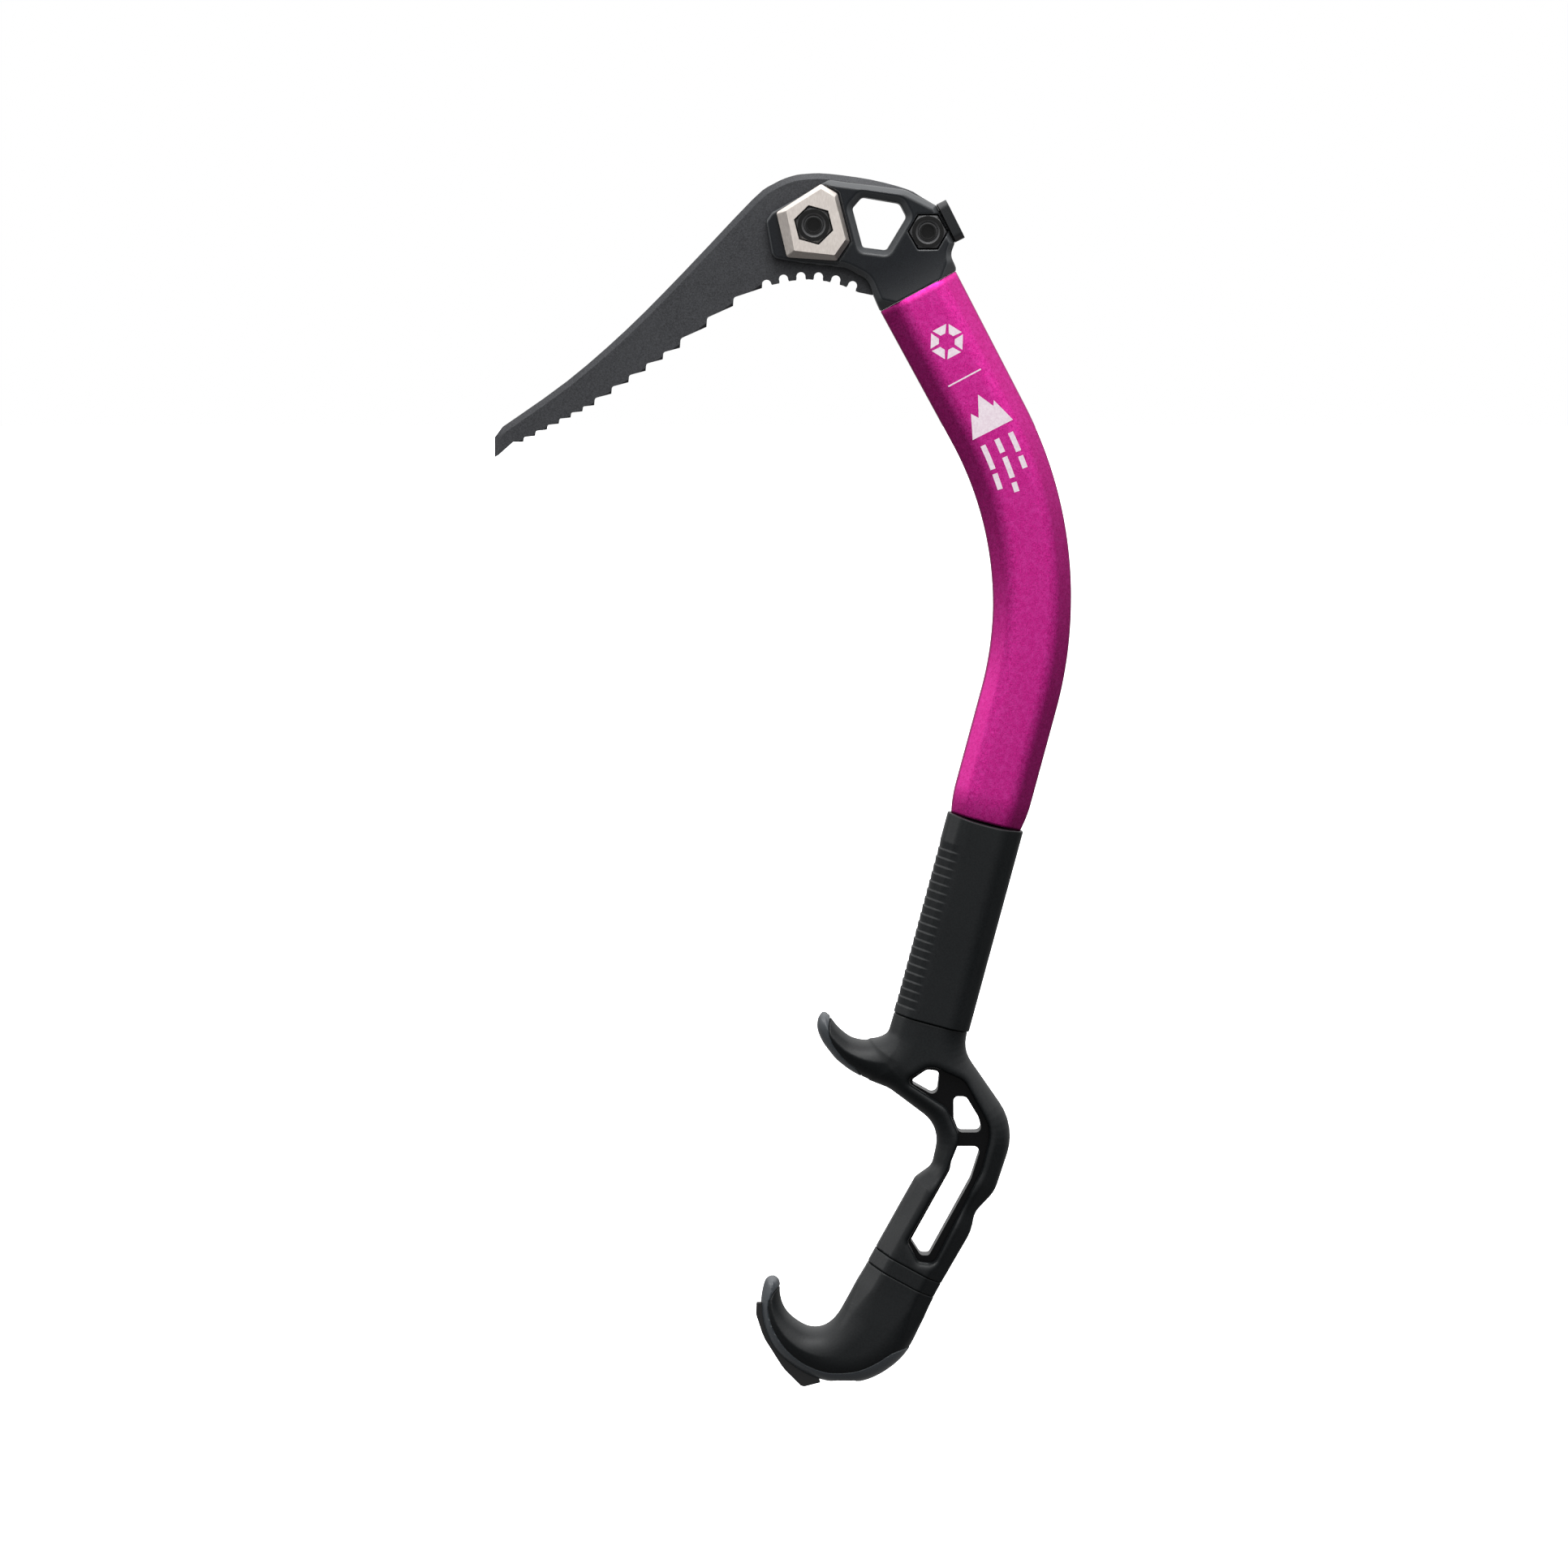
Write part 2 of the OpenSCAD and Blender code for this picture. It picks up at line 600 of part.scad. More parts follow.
module handle_frame() {
    color([0.04, 0.04, 0.045])
    difference() {
        frame_solid();
        handle_windows();
        prong_slots();
        at_pommel() translate([0, 0, -1]) cylinder(h = insert_l + 1, r = insert_r);
        for (s = pin_places) cross_bar(shaft_point(s), pin_r, through);
    }
}

// Hand rest above the handle: [inner point, outer point, thickness] from its root to its tip
rest = [[[2, -333.2], [0, -352], 21], [[-4.5, -334], [-8.5, -348.6], 21],
        [[-10, -333.1], [-16, -343.5], 20.5], [[-13.7, -330.9], [-19.9, -339.2], 20],
        [[-17, -327.7], [-23.2, -334.5], 18.5], [[-19.2, -324.6], [-25.1, -329.6], 16],
        [[-20.9, -322.5], [-24.9, -325.2], 12], [[-21.9, -321.9], [-23.2, -322.3], 7]];
// Region of the hard rim on the outside of the hand rest
rest_rim = [[-6.9, -347.8], [-10.5, -344.7], [-16.1, -339.6], [-20.2, -334, 3],
            [-20.4, -328.9, 3], [-19.2, -324.2], [-18.6, -318], [-40, -318], [-40, -360],
            [-10, -360]];

module handle_overmould() {
    color([0.12, 0.125, 0.13])
    difference() {
        union() {
            slab(handle_body, round_layers(handle_t / 2, 4.6, 5, 4));
            horn(rest, 2);
        }
        plate(rest_rim, through);
        for (s = [-1, 1]) translate([0, s * (frame_t + through) / 2, 0]) plate(web, through);
        frame_solid();
        prong_slots();
        below_joint();
        at_shaft(grip_end_s) flat_bar(0, 80, 60, 0, 60);
    }
}

// Hard rim on the outside of the hand rest
module trigger_rim() {
    color([0.11, 0.13, 0.15])
    intersection() {
        horn(rest, 2);
        plate(rest_rim, through);
    }
}

// Cross pins through the shaft's neck and the handle's tang
module handle_pins() {
    color([0.6, 0.6, 0.62])
    for (s = pin_places) cross_bar(shaft_point(s), pin_r, neck_t - 1);
}

// ---------- spacer, pommel and spike ----------

// Holes for the pommel's bolt and prongs through the spacer
module pommel_passage(z0, z1, slack) {
    translate([0, 0, z0]) cylinder(h = z1 - z0, r = pommel_bolt_r + run_gap);
    for (x = [-prong_x, prong_x])
        flat_bar(x, prong_w + slack, prong_t + slack, z0, z1);
}

module spacer() {
    color([0.15, 0.155, 0.16])
    at_pommel() difference() {
        oval_bar(lower_w, handle_t, -spacer_h, -gap);
        pommel_passage(-spacer_h - 1, 1, 2 * gap);
    }
}

// Pommel: [inner point, outer point, thickness] from the spacer to the tip of its hook
pommel = [[[-3.9, -426.2], [23, -441], 23], [[-8.5, -434], [18.1, -451.5], 23.5],
          [[-13.2, -442.3], [12.4, -463], 24.5], [[-16.8, -448.2], [5, -470.4], 25],
          [[-20.3, -451.6], [-4.5, -475.4], 25], [[-24.2, -453.2], [-15, -476.6], 25],
          [[-28.9, -452.8], [-26.5, -474.3], 25], [[-33.4, -450.3], [-36.5, -468.6], 24],
          [[-37, -447.1], [-43.2, -461.8], 23], [[-39.2, -443.3], [-47, -453.8], 22],
          [[-40.1, -439.2], [-48.3, -446], 21], [[-40.1, -436], [-48, -439.8], 19],
          [[-40.8, -433.2], [-46.6, -433.8], 15], [[-42.5, -431.6], [-44.4, -431.7], 8]];
// Region of the hard rim round the outside of the hook and over its tip
pommel_rim_area = [[13.2, -461.2], [5.6, -462.1, 2], [-8.1, -470.4, 12], [-22, -472.6, 14],
                   [-36.5, -465.6, 20], [-44.6, -452.5, 14], [-45.2, -443.4, 3], [-38.5, -436.2],
                   [-30, -420], [-70, -420], [-70, -500], [30, -500], [30, -461.2]];
spike_outline = [[-50.1, -443.3, 0.6], [-42, -443.3], [-30, -462], [-23.7, -476.5],
                 [-30.4, -478.2, 0.6], [-31.8, -477.8, 0.3], [-39, -470.6, 12],
                 [-47.2, -457.6, 14], [-50.3, -448, 4]];
spike_pin_at = [[-38.5, -456], [-32.5, -462.5]];

// Stiff core: its trunk under the spacer, two guide prongs and the arm that holds the spike
module core_solid() {
    at_pommel() {
        flat_bar(0, 20, arm_t - 1, -38, -spacer_h);
        for (x = [-prong_x, prong_x]) flat_bar(x, prong_w, prong_t, -20, prong_l);
    }
    plate([[-2, -462, 2], [-16, -471.5, 4], [-30, -469.5, 4], [-41.5, -456, 4],
           [-42.5, -448.5, 1], [-39.8, -451, 4], [-31, -458, 8], [-21, -459.5, 8],
           [-8, -446, 2]], arm_t);
}

// Bore for the pommel bolt, wider below its seat
module pommel_bore() {
    at_pommel() {
        translate([0, 0, -80]) cylinder(h = 80, r = pommel_bolt_r + run_gap);
        translate([0, 0, -80]) cylinder(h = 80 - bore_bottom, r = 5.8);
    }
}

module pommel_core() {
    color([0.06, 0.06, 0.065])
    difference() {
        core_solid();
        pommel_bore();
        plate(spike_outline, spike_t);
        for (p = spike_pin_at) cross_bar(p, 1.5, through);
    }
}

// Lower hand rest round its core, before it is split into skin and rim
module pommel_shell() {
    difference() {
        horn(pommel, 2);
        core_solid();
        pommel_bore();
        plate(spike_outline, spike_t);
    }
}

module pommel_grip() {
    color([0.12, 0.125, 0.13])
    difference() {
        pommel_shell();
        plate(pommel_rim_area, through);
    }
}

module pommel_rim() {
    color([0.11, 0.13, 0.15])
    intersection() {
        pommel_shell();
        plate(pommel_rim_area, through);
    }
}

module spike() {
    color([0.05, 0.05, 0.055])
    difference() {
        plate(spike_outline, spike_t);
        for (p = spike_pin_at) cross_bar(p, 1.5, through);
    }
}

// Rivets through the core and the spike
module spike_pins() {
    color([0.6, 0.6, 0.62])
    for (p = spike_pin_at) cross_bar(p, 1.5, 12);
}

module pommel_washer() {
    color([0.6, 0.6, 0.62])
    at_pommel() translate([0, 0, -bore_bottom - 1]) difference() {
        cylinder(h = 1, r = 5.6);
        translate([0, 0, -1]) cylinder(h = 3, r = pommel_bolt_r + run_gap);
    }
}

// Bolt from the bottom of the pommel up into the insert in the handle's frame
module pommel_bolt() {
    color([0.07, 0.07, 0.08])
    at_pommel() difference() {
        union() {
            translate([0, 0, -bore_bottom - 6]) cylinder(h = 5 - run_gap, r = 5);
            translate([0, 0, -bore_bottom - 3])
                cylinder(h = bore_bottom + 3 + insert_l - 0.4, r = pommel_bolt_r);
        }
        translate([0, 0, -bore_bottom - 7]) cylinder(h = 4, r = 5 / sqrt(3), $fn = 6);
    }
}

// Sleeve in the handle's frame that the pommel bolt screws into
module pommel_insert() {
    color([0.75, 0.6, 0.3])
    at_pommel() difference() {
        cylinder(h = insert_l, r = insert_r);
        translate([0, 0, -1]) cylinder(h = 20, r = pommel_bolt_r + run_gap);
    }
}

pick();
head();
pick_weight_near();
pick_weight_far();
pick_bolt();
pick_nut();
pick_washer();
hammer();
hammer_bolt();
hammer_nut();
hammer_washer();
shaft();
upper_grip();
handle_frame();
handle_overmould();
handle_pins();
trigger_rim();
spacer();
pommel_core();
pommel_grip();
pommel_rim();
spike();
spike_pins();
pommel_bolt();
pommel_washer();
pommel_insert();
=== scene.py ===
import itertools
import math

import bpy
import numpy as np
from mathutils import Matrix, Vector


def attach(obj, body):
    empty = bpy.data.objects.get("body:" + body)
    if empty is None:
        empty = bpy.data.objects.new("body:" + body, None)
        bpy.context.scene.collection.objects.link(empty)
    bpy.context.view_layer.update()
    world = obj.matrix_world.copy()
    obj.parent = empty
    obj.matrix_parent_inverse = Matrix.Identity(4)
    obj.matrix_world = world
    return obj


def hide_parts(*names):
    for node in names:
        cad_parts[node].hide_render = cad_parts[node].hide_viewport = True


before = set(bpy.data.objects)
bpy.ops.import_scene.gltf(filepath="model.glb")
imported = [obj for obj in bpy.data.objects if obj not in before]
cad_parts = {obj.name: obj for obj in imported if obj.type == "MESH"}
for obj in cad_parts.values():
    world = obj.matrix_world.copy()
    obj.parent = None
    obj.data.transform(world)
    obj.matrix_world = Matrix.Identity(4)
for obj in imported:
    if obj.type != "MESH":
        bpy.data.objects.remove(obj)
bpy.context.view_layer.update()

# Technical ice-climbing tool. The hard parts are the CAD nodes with softened edges. The forged,
# drawn and moulded parts are modelled again here from distance fields and sweeps.
# Lengths are in millimetres in the part's frame: X from the pick to the hammer, Z up, Y depth.

# ---------- driving dimensions ----------

# Head: half thickness of its cheeks, its seats and the pick's slot
HEAD_HALF = 10.0
SEAT_HALF = 8.0
SLOT_HALF = 2.1
# Radius of a bolt's hole, width and floor of a nut's pocket, radius of a bolt head's pocket
BOLT_HOLE = 4.05
POCKET_FLAT = 14.4
POCKET_FLOOR = 4.6
HEAD_BORE = 7.2
PICK_BOLT = (-26.7, -0.3)
HAMMER_BOLT = (19.8, -3.0)

# Shaft line: its start at the head, the straight length, the bend and the leans either side
COLLAR = np.array([16.0, -27.0])
STRAIGHT = 60.9
BEND_RADIUS = 154.6
UPPER_LEAN = 28.1
LOWER_LEAN = -15.0
# Sections of the shaft, the grip sleeve and the neck inside it, and distances down the line
SHAFT_TOP_WIDTH = 34.7
SHAFT_WIDTH = 31.9
SHAFT_DEPTH = 23.0
GRIP_START = 229.4
GRIP_END = 315.0
GRIP_WIDTH = 32.0
GRIP_DEPTH = 25.0
NECK_WIDTH = 26.0
NECK_DEPTH = 18.0

# Handle: half thicknesses, the joint with the spacer and the lean of the axis through it
HANDLE_HALF = 11.5
FRAME_HALF = 5.5
JOINT = np.array([12.65, -427.6])
POMMEL_LEAN = -28.8
# Spacer's height, width of the parts that meet at it, and how soft the creases on them are
SPACER = 6.6
LOWER_WIDTH = 30.7
CREASE = 1.2
# Pommel: half thickness of its core and of the spike's slot, radii of the bolt's bore and
# counterbore, and how far below the joint the counterbore starts
CORE_HALF = 6.5
SPIKE_HALF = 2.05
POMMEL_BORE = 3.05
COUNTERBORE_RADIUS = 5.8
COUNTERBORE = 42.0
# Slots for the pommel's prongs: distance from the axis, half width and length
PRONG_X = 9.7
PRONG_ROOM = 2.3
PRONG_LENGTH = 24.0

# ---------- outlines ----------


def curve(points, n):
    """Smooth curve through the points, with n steps between neighbours."""
    p = np.array(points, float)
    result = []
    for i in range(len(p) - 1):
        a, b, c, d = p[max(i - 1, 0)], p[i], p[i + 1], p[min(i + 2, len(p) - 1)]
        for t in np.arange(n) / n:
            result.append(0.5 * (2 * b + (c - a) * t + (2 * a - 5 * b + 4 * c - d) * t**2
                                 + (3 * b - a - 3 * c + d) * t**3))
    result.append(p[-1])
    return np.array(result)


def rounded(corners, step=10.0):
    """Outline of corners [x, z, radius], listed anticlockwise, as an array of points."""
    points = []
    for i, corner in enumerate(corners):
        a = np.array(corners[i - 1][:2], float)
        b = np.array(corner[:2], float)
        c = np.array(corners[(i + 1) % len(corners)][:2], float)
        if len(corner) < 3:
            points.append(b)
            continue
        u = (b - a) / np.linalg.norm(b - a)
        v = (c - b) / np.linalg.norm(c - b)
        turn = math.atan2(u[0] * v[1] - u[1] * v[0], u @ v)
        side = math.copysign(corner[2], turn)
        normal = np.array([-u[1], u[0]])
        mitre = (normal + np.array([-v[1], v[0]])) / (1 + u @ v)
        steps = max(1, math.ceil(abs(math.degrees(turn)) / step))
        for angle in np.linspace(0, turn, steps + 1):
            spin = np.array([[math.cos(angle), -math.sin(angle)],
                             [math.sin(angle), math.cos(angle)]])
            points.append(b + mitre * side - side * (spin @ normal))
    return np.array(points)


CHEEK = rounded([[3, -41.1], [34.8, -23.9], [29, -12.4, 5], [30.9, -7.3, 2], [23.2, 7.8, 2],
                 [10.5, 14.2, 8], [-20.5, 18.2, 3.5], [-43.8, 5, 2.5], [-46.2, 1.4, 3],
                 [-43.5, -13.8, 3.5], [-32, -15.6, 8], [-14, -17.6, 10], [-5, -22, 8]])
SEAT = rounded([[-60, -40], [-17.2, -40], [-16.6, -15.4], [-11.2, -7.1], [-16.3, 13],
                [-23.5, 17.2], [-24, 40], [-60, 40]])
SLOT = rounded([[-60, -40], [-2.2, -40], [-1.6, -28.6], [10.4, -14.4], [60, -14.4], [60, 40],
                [-60, 40]])
WINDOW = rounded([[-6.7, -9.2, 1.5], [3, -10.4, 2], [11.2, 3.2, 2], [8.4, 8.6, 2.5],
                  [-6.9, 11.2, 2], [-10.9, 6.6, 2]])

# Handle, run on past both of its ends: the neck into the grip, and the foot into the spacer
HANDLE = rounded([[16.5, -452.5], [26.1, -435], [38.4, -413.6, 18], [40, -405.5, 9],
                  [48.2, -396.8, 14], [57.2, -370.1, 24], [35.4, -338.6, 13], [37, -330.7],
                  [42.2, -311.4], [11.8, -303.2], [6.6, -322.5], [3.2, -334, 6], [-3, -334],
                  [-3, -350.6], [4, -354, 20], [25.6, -370.2, 13.5], [22.2, -386, 6],
                  [15.4, -391, 4], [-0.8, -420.2], [-10.4, -437.7]])
WEB = rounded([[23, -426, 3], [42.5, -387.5, 12], [46.6, -371, 14], [35.4, -350.5, 8],
               [21.5, -344, 6], [11.2, -350.4, 2], [28.2, -361.4, 8], [34, -374, 9],
               [28.5, -388, 12], [12.2, -416.8, 2], [16.6, -425.2, 2]])
CORE = rounded([[21.8, -434.9], [35.8, -407.5, 20], [47.2, -386.5, 12], [50.6, -371, 14],
                [37.5, -348, 8], [31.8, -339.5, 6], [29, -331], [12, -326.5], [12.5, -344, 6],
                [8.6, -351.5, 2], [25.2, -363.6, 8], [30.2, -374, 9], [24.5, -388, 12],
                [1.5, -423.8]])

# Hand rests: stations of inner point, outer point and depth. They start inside the handle and
# above the spacer's seam, and run to the tip.
REST = [[[12, -329], [14, -354], 23], [[2, -332.6], [2, -352.6], 22.8],
        [[-4.5, -334], [-8.5, -348.6], 22], [[-10, -333.1], [-16, -343.5], 20.5],
        [[-13.7, -330.9], [-19.9, -339.2], 20],
        [[-17, -327.7], [-23.2, -334.5], 18.5], [[-19.2, -324.6], [-25.1, -329.6], 16],
        [[-20.9, -322.5], [-24.9, -325.2], 12], [[-21.9, -321.9], [-23.2, -322.3], 7]]
REST_RIM = np.concatenate([
    curve([[-6.4, -350.5], [-8.2, -346.6], [-12.4, -343.1], [-16.2, -339.2], [-19.2, -334.5],
           [-20.5, -329.4], [-19.6, -324.3], [-18, -319]], 4),
    [[-40, -318], [-40, -362], [-8, -362]]])
POMMEL = [[[6.1, -408.1], [33, -422.9], 23], [[-3.9, -426.2], [23, -441], 23],
          [[-8.5, -434], [18.1, -451.5], 23.5],
          [[-13.2, -442.3], [12.4, -463], 24.5], [[-16.8, -448.2], [5, -470.4], 25],
          [[-20.3, -451.6], [-4.5, -475.4], 25], [[-24.2, -453.2], [-15, -476.6], 25],
          [[-28.9, -452.8], [-26.5, -474.3], 25], [[-33.4, -450.3], [-36.5, -468.6], 24],
          [[-37, -447.1], [-43.2, -461.8], 23], [[-39.2, -443.3], [-47, -453.8], 22],
          [[-40.1, -439.2], [-48.3, -446], 21], [[-40.1, -436], [-48, -439.8], 19],
          [[-40.8, -433.2], [-46.6, -433.8], 15], [[-42.5, -431.6], [-44.4, -431.7], 8]]
POMMEL_RIM = np.concatenate([
    curve([[17, -461], [12.4, -461.6], [6.3, -463], [0.3, -466.6], [-5.6, -469.5],
           [-12.4, -471.1], [-20.9, -471.1], [-29.4, -468.2], [-36.2, -463.3], [-41.3, -457],
           [-44.4, -450.2], [-45.2, -444.2], [-43.6, -439.1], [-40.5, -436.2],
           [-36, -434.5]], 4),
    [[-30, -420], [-70, -420], [-70, -500], [30, -500], [30, -461.2]]])
SPIKE_SLOT = rounded([[-52, -443.1], [-41.8, -443.1], [-29.8, -462], [-23, -478], [-32, -480],
                      [-52, -462]])
ARM = rounded([[-2, -462, 2], [-16, -471.5, 4], [-30, -469.5, 4], [-41.5, -456, 4],
               [-42.5, -448.5, 1], [-39.8, -451, 4], [-31, -458, 8], [-21, -459.5, 8],
               [-8, -446, 2]])

# ---------- the shaft's line ----------


def down(lean):
    """Direction down a line that leans by so many degrees from the vertical."""
    return np.array([math.sin(math.radians(lean)), -math.cos(math.radians(lean))])


def across(lean):
    """Direction across that line, towards the hammer's side."""
    return np.array([math.cos(math.radians(lean)), math.sin(math.radians(lean))])


BEND_LENGTH = BEND_RADIUS * math.radians(UPPER_LEAN - LOWER_LEAN)
BEND_CENTRE = COLLAR + STRAIGHT * down(UPPER_LEAN) - BEND_RADIUS * across(UPPER_LEAN)


def shaft_lean(s):
    """Lean of the shaft at the distance s below the head."""
    turned = math.degrees((s - STRAIGHT) / BEND_RADIUS)
    return UPPER_LEAN - min(max(turned, 0), UPPER_LEAN - LOWER_LEAN)


def shaft_point(s):
    """Point of the shaft's centre line at the distance s below the head."""
    if s < STRAIGHT:
        return COLLAR + s * down(UPPER_LEAN)
    past = max(0, s - STRAIGHT - BEND_LENGTH)
    return BEND_CENTRE + BEND_RADIUS * across(shaft_lean(s)) + past * down(LOWER_LEAN)


def local(origin, lean, x, z):
    """Coordinates across and up a leaning axis through origin."""
    u, w = across(lean), -down(lean)
    x, z = x - origin[0], z - origin[1]
    return x * u[0] + z * u[1], x * w[0] + z * w[1]


# ---------- distance fields ----------


def plan(outline, x, z):
    """Signed distance to a closed outline in the X-Z plane, negative inside."""
    x, z = np.broadcast_arrays(x, z)
    nearest = np.full(x.shape, np.inf)
    inside = np.zeros(x.shape, bool)
    for (ax, az), (bx, bz) in zip(outline, np.roll(outline, -1, axis=0)):
        ex, ez = bx - ax, bz - az
        t = np.clip(((x - ax) * ex + (z - az) * ez) / (ex * ex + ez * ez), 0, 1)
        nearest = np.minimum(nearest, (x - ax - t * ex) ** 2 + (z - az - t * ez) ** 2)
        if ez:
            inside ^= ((az > z) != (bz > z)) & (x < ax + ex * (z - az) / ez)
    return np.where(inside, -1, 1) * np.sqrt(nearest)


def along(path, values, x, z):
    """The value at the nearest point of a path."""
    x, z = np.broadcast_arrays(x, z)
    nearest = np.full(x.shape, np.inf)
    value = np.zeros(x.shape)
    for (ax, az), (bx, bz), va, vb in zip(path, path[1:], values, values[1:]):
        ex, ez = bx - ax, bz - az
        t = np.clip(((x - ax) * ex + (z - az) * ez) / (ex * ex + ez * ez), 0, 1)
        d = (x - ax - t * ex) ** 2 + (z - az - t * ez) ** 2
        value = np.where(d < nearest, va + t * (vb - va), value)
        nearest = np.minimum(nearest, d)
    return value


def both(a, b, k):
    """Inside a and inside b, with the edge between them eased over k."""
    return np.maximum(a, b) + np.maximum(k - np.abs(a - b), 0) ** 2 / (4 * k)


def either(a, b, k):
    """Inside a or inside b, with a fillet of size k."""
    return -both(-a, -b, k)


def block(a, b, r):
    """Inside a and inside b, with the edge between them rounded to the radius r."""
    return (np.minimum(np.maximum(a, b) + r, 0)
            + np.hypot(np.maximum(a + r, 0), np.maximum(b + r, 0)) - r)


def moulded(d, y, half, r=3.0, ease=3.0):
    """Section of a moulded grip from the distance d to its outline: a flat face and soft
    facets down to the sides."""
    y = np.abs(y)
    facet = 0.73 * d + 0.68 * (y - half + np.minimum(7.6, 0.66 * half))
    return both(block(d, y - half, r), facet, ease)


def hexagon(x, z, flats, turn=0.0):
    """Distance to a hexagon round the origin, by its width across the flats."""
    sides = [math.radians(turn + 90 + 60 * k) for k in range(3)]
    return np.maximum.reduce([np.abs(x * math.cos(a) + z * math.sin(a)) for a in sides]) - flats / 2


# ---------- meshes ----------

EDGES = [(a, a + step) for a, step in itertools.product(range(8), (1, 2, 4)) if not a & step]
BITS = np.array([[b >> 2 & 1, b >> 1 & 1, b & 1] for b in range(8)])


def add_mesh(name, vertices, faces):
    """Object from points in metres, with smooth shading."""
    mesh = bpy.data.meshes.new(name)
    mesh.from_pydata(vertices.tolist(), [], [tuple(f) for f in faces])
    mesh.polygons.foreach_set("use_smooth", [True] * len(mesh.polygons))
    obj = bpy.data.objects.new(name, mesh)
    bpy.context.scene.collection.objects.link(obj)
    return obj


def gradient(field, p, value):
    """Direction in which the field grows at the points p."""
    e = 0.02
    return np.stack([field(*(p + e * axis).T) - value for axis in np.eye(3)], axis=1) / e


def without_pinches(inside):
    """Fills each square of the grid that is inside at only two opposite corners, because the
    skin would pinch to a single edge there."""
    pinched = True
    while pinched:
        pinched = False
        for axis in range(3):
            layers = np.moveaxis(inside, axis, 0)
            a, b, c, d = (layers[:, j:layers.shape[1] - 1 + j, k:layers.shape[2] - 1 + k]
                          for j, k in itertools.product((0, 1), repeat=2))
            pinch = (a == d) & (b == c) & (a != b)
            if pinch.any():
                pinched = True
                for corner in (a, b, c, d):
                    corner |= pinch
    return inside


def surface(name, field, low, high, step, place=None):
    """Mesh of the surface where a field is zero. Surface nets on a grid give the faces, and
    each point is then pulled onto the surface."""
    low, step = np.array(low, float), np.broadcast_to(np.array(step, float), 3)
    counts = np.ceil((np.array(high) - low) / step).astype(int) + 1
    x, y, z = (low[i] + step[i] * np.arange(counts[i]) for i in range(3))
    values = field(x[:, None, None], y[None, :, None], z[None, None, :])
    for axis in range(3):
        values = (np.roll(values, 1, axis) + 2 * values + np.roll(values, -1, axis)) / 4
    inside = without_pinches(values < 0)
    values = np.where(inside, np.minimum(values, -0.001), values)
    size = np.array(values.shape) - 1
    corner = [inside[i:size[0] + i, j:size[1] + j, k:size[2] + k] for i, j, k in BITS]
    filled = sum(c.astype(np.int8) for c in corner)
    cells = np.argwhere((filled > 0) & (filled < 8))
    index = np.full(size, -1)
    index[tuple(cells.T)] = np.arange(len(cells))
    total = np.zeros((len(cells), 3))
    hits = np.zeros((len(cells), 1))
    at_corner = [values[tuple((cells + b).T)] for b in BITS]
    for a, b in EDGES:
        cut = (at_corner[a] < 0) != (at_corner[b] < 0)
        t = at_corner[a][cut] / (at_corner[a][cut] - at_corner[b][cut])
        total[cut] += BITS[a] + t[:, None] * (BITS[b] - BITS[a])
        hits[cut] += 1
    points = low + (cells + total / hits) * step
    quads = []
    for axis in range(3):
        u, v = np.eye(3, dtype=int)[(axis + 1) % 3], np.eye(3, dtype=int)[(axis + 2) % 3]
        first = np.moveaxis(inside, axis, 0)[:-1]
        second = np.moveaxis(inside, axis, 0)[1:]
        for flip in (False, True):
            crossing = (second & ~first) if flip else (first & ~second)
            at = np.argwhere(np.moveaxis(crossing, 0, axis))
            ring = [at, at - u, at - u - v, at - v]
            ring = [index[tuple(r.T)] for r in (ring[::-1] if flip else ring)]
            quads.append(np.stack(ring, axis=1))
    value = field(*points.T)
    slope = gradient(field, points, value)
    slope /= np.maximum((slope * slope).sum(1, keepdims=True), 0.05)
    points = points - np.clip(value[:, None] * slope, -step / 2, step / 2)
    points = points - np.clip(field(*points.T)[:, None] * slope, -step / 4, step / 4)
    if place is not None:
        points = place(points)
    return add_mesh(name, points / 1000, np.concatenate(quads))


def placed(origin, lean):
    """Turns points from the coordinates of a leaning axis to the part's frame."""
    u, w = across(lean), -down(lean)
    turn = np.array([[u[0], 0, u[1]], [0, 1, 0], [w[0], 0, w[1]]])
    return lambda p: p @ turn + np.array([origin[0], 0, origin[1]])


# ---------- head ----------


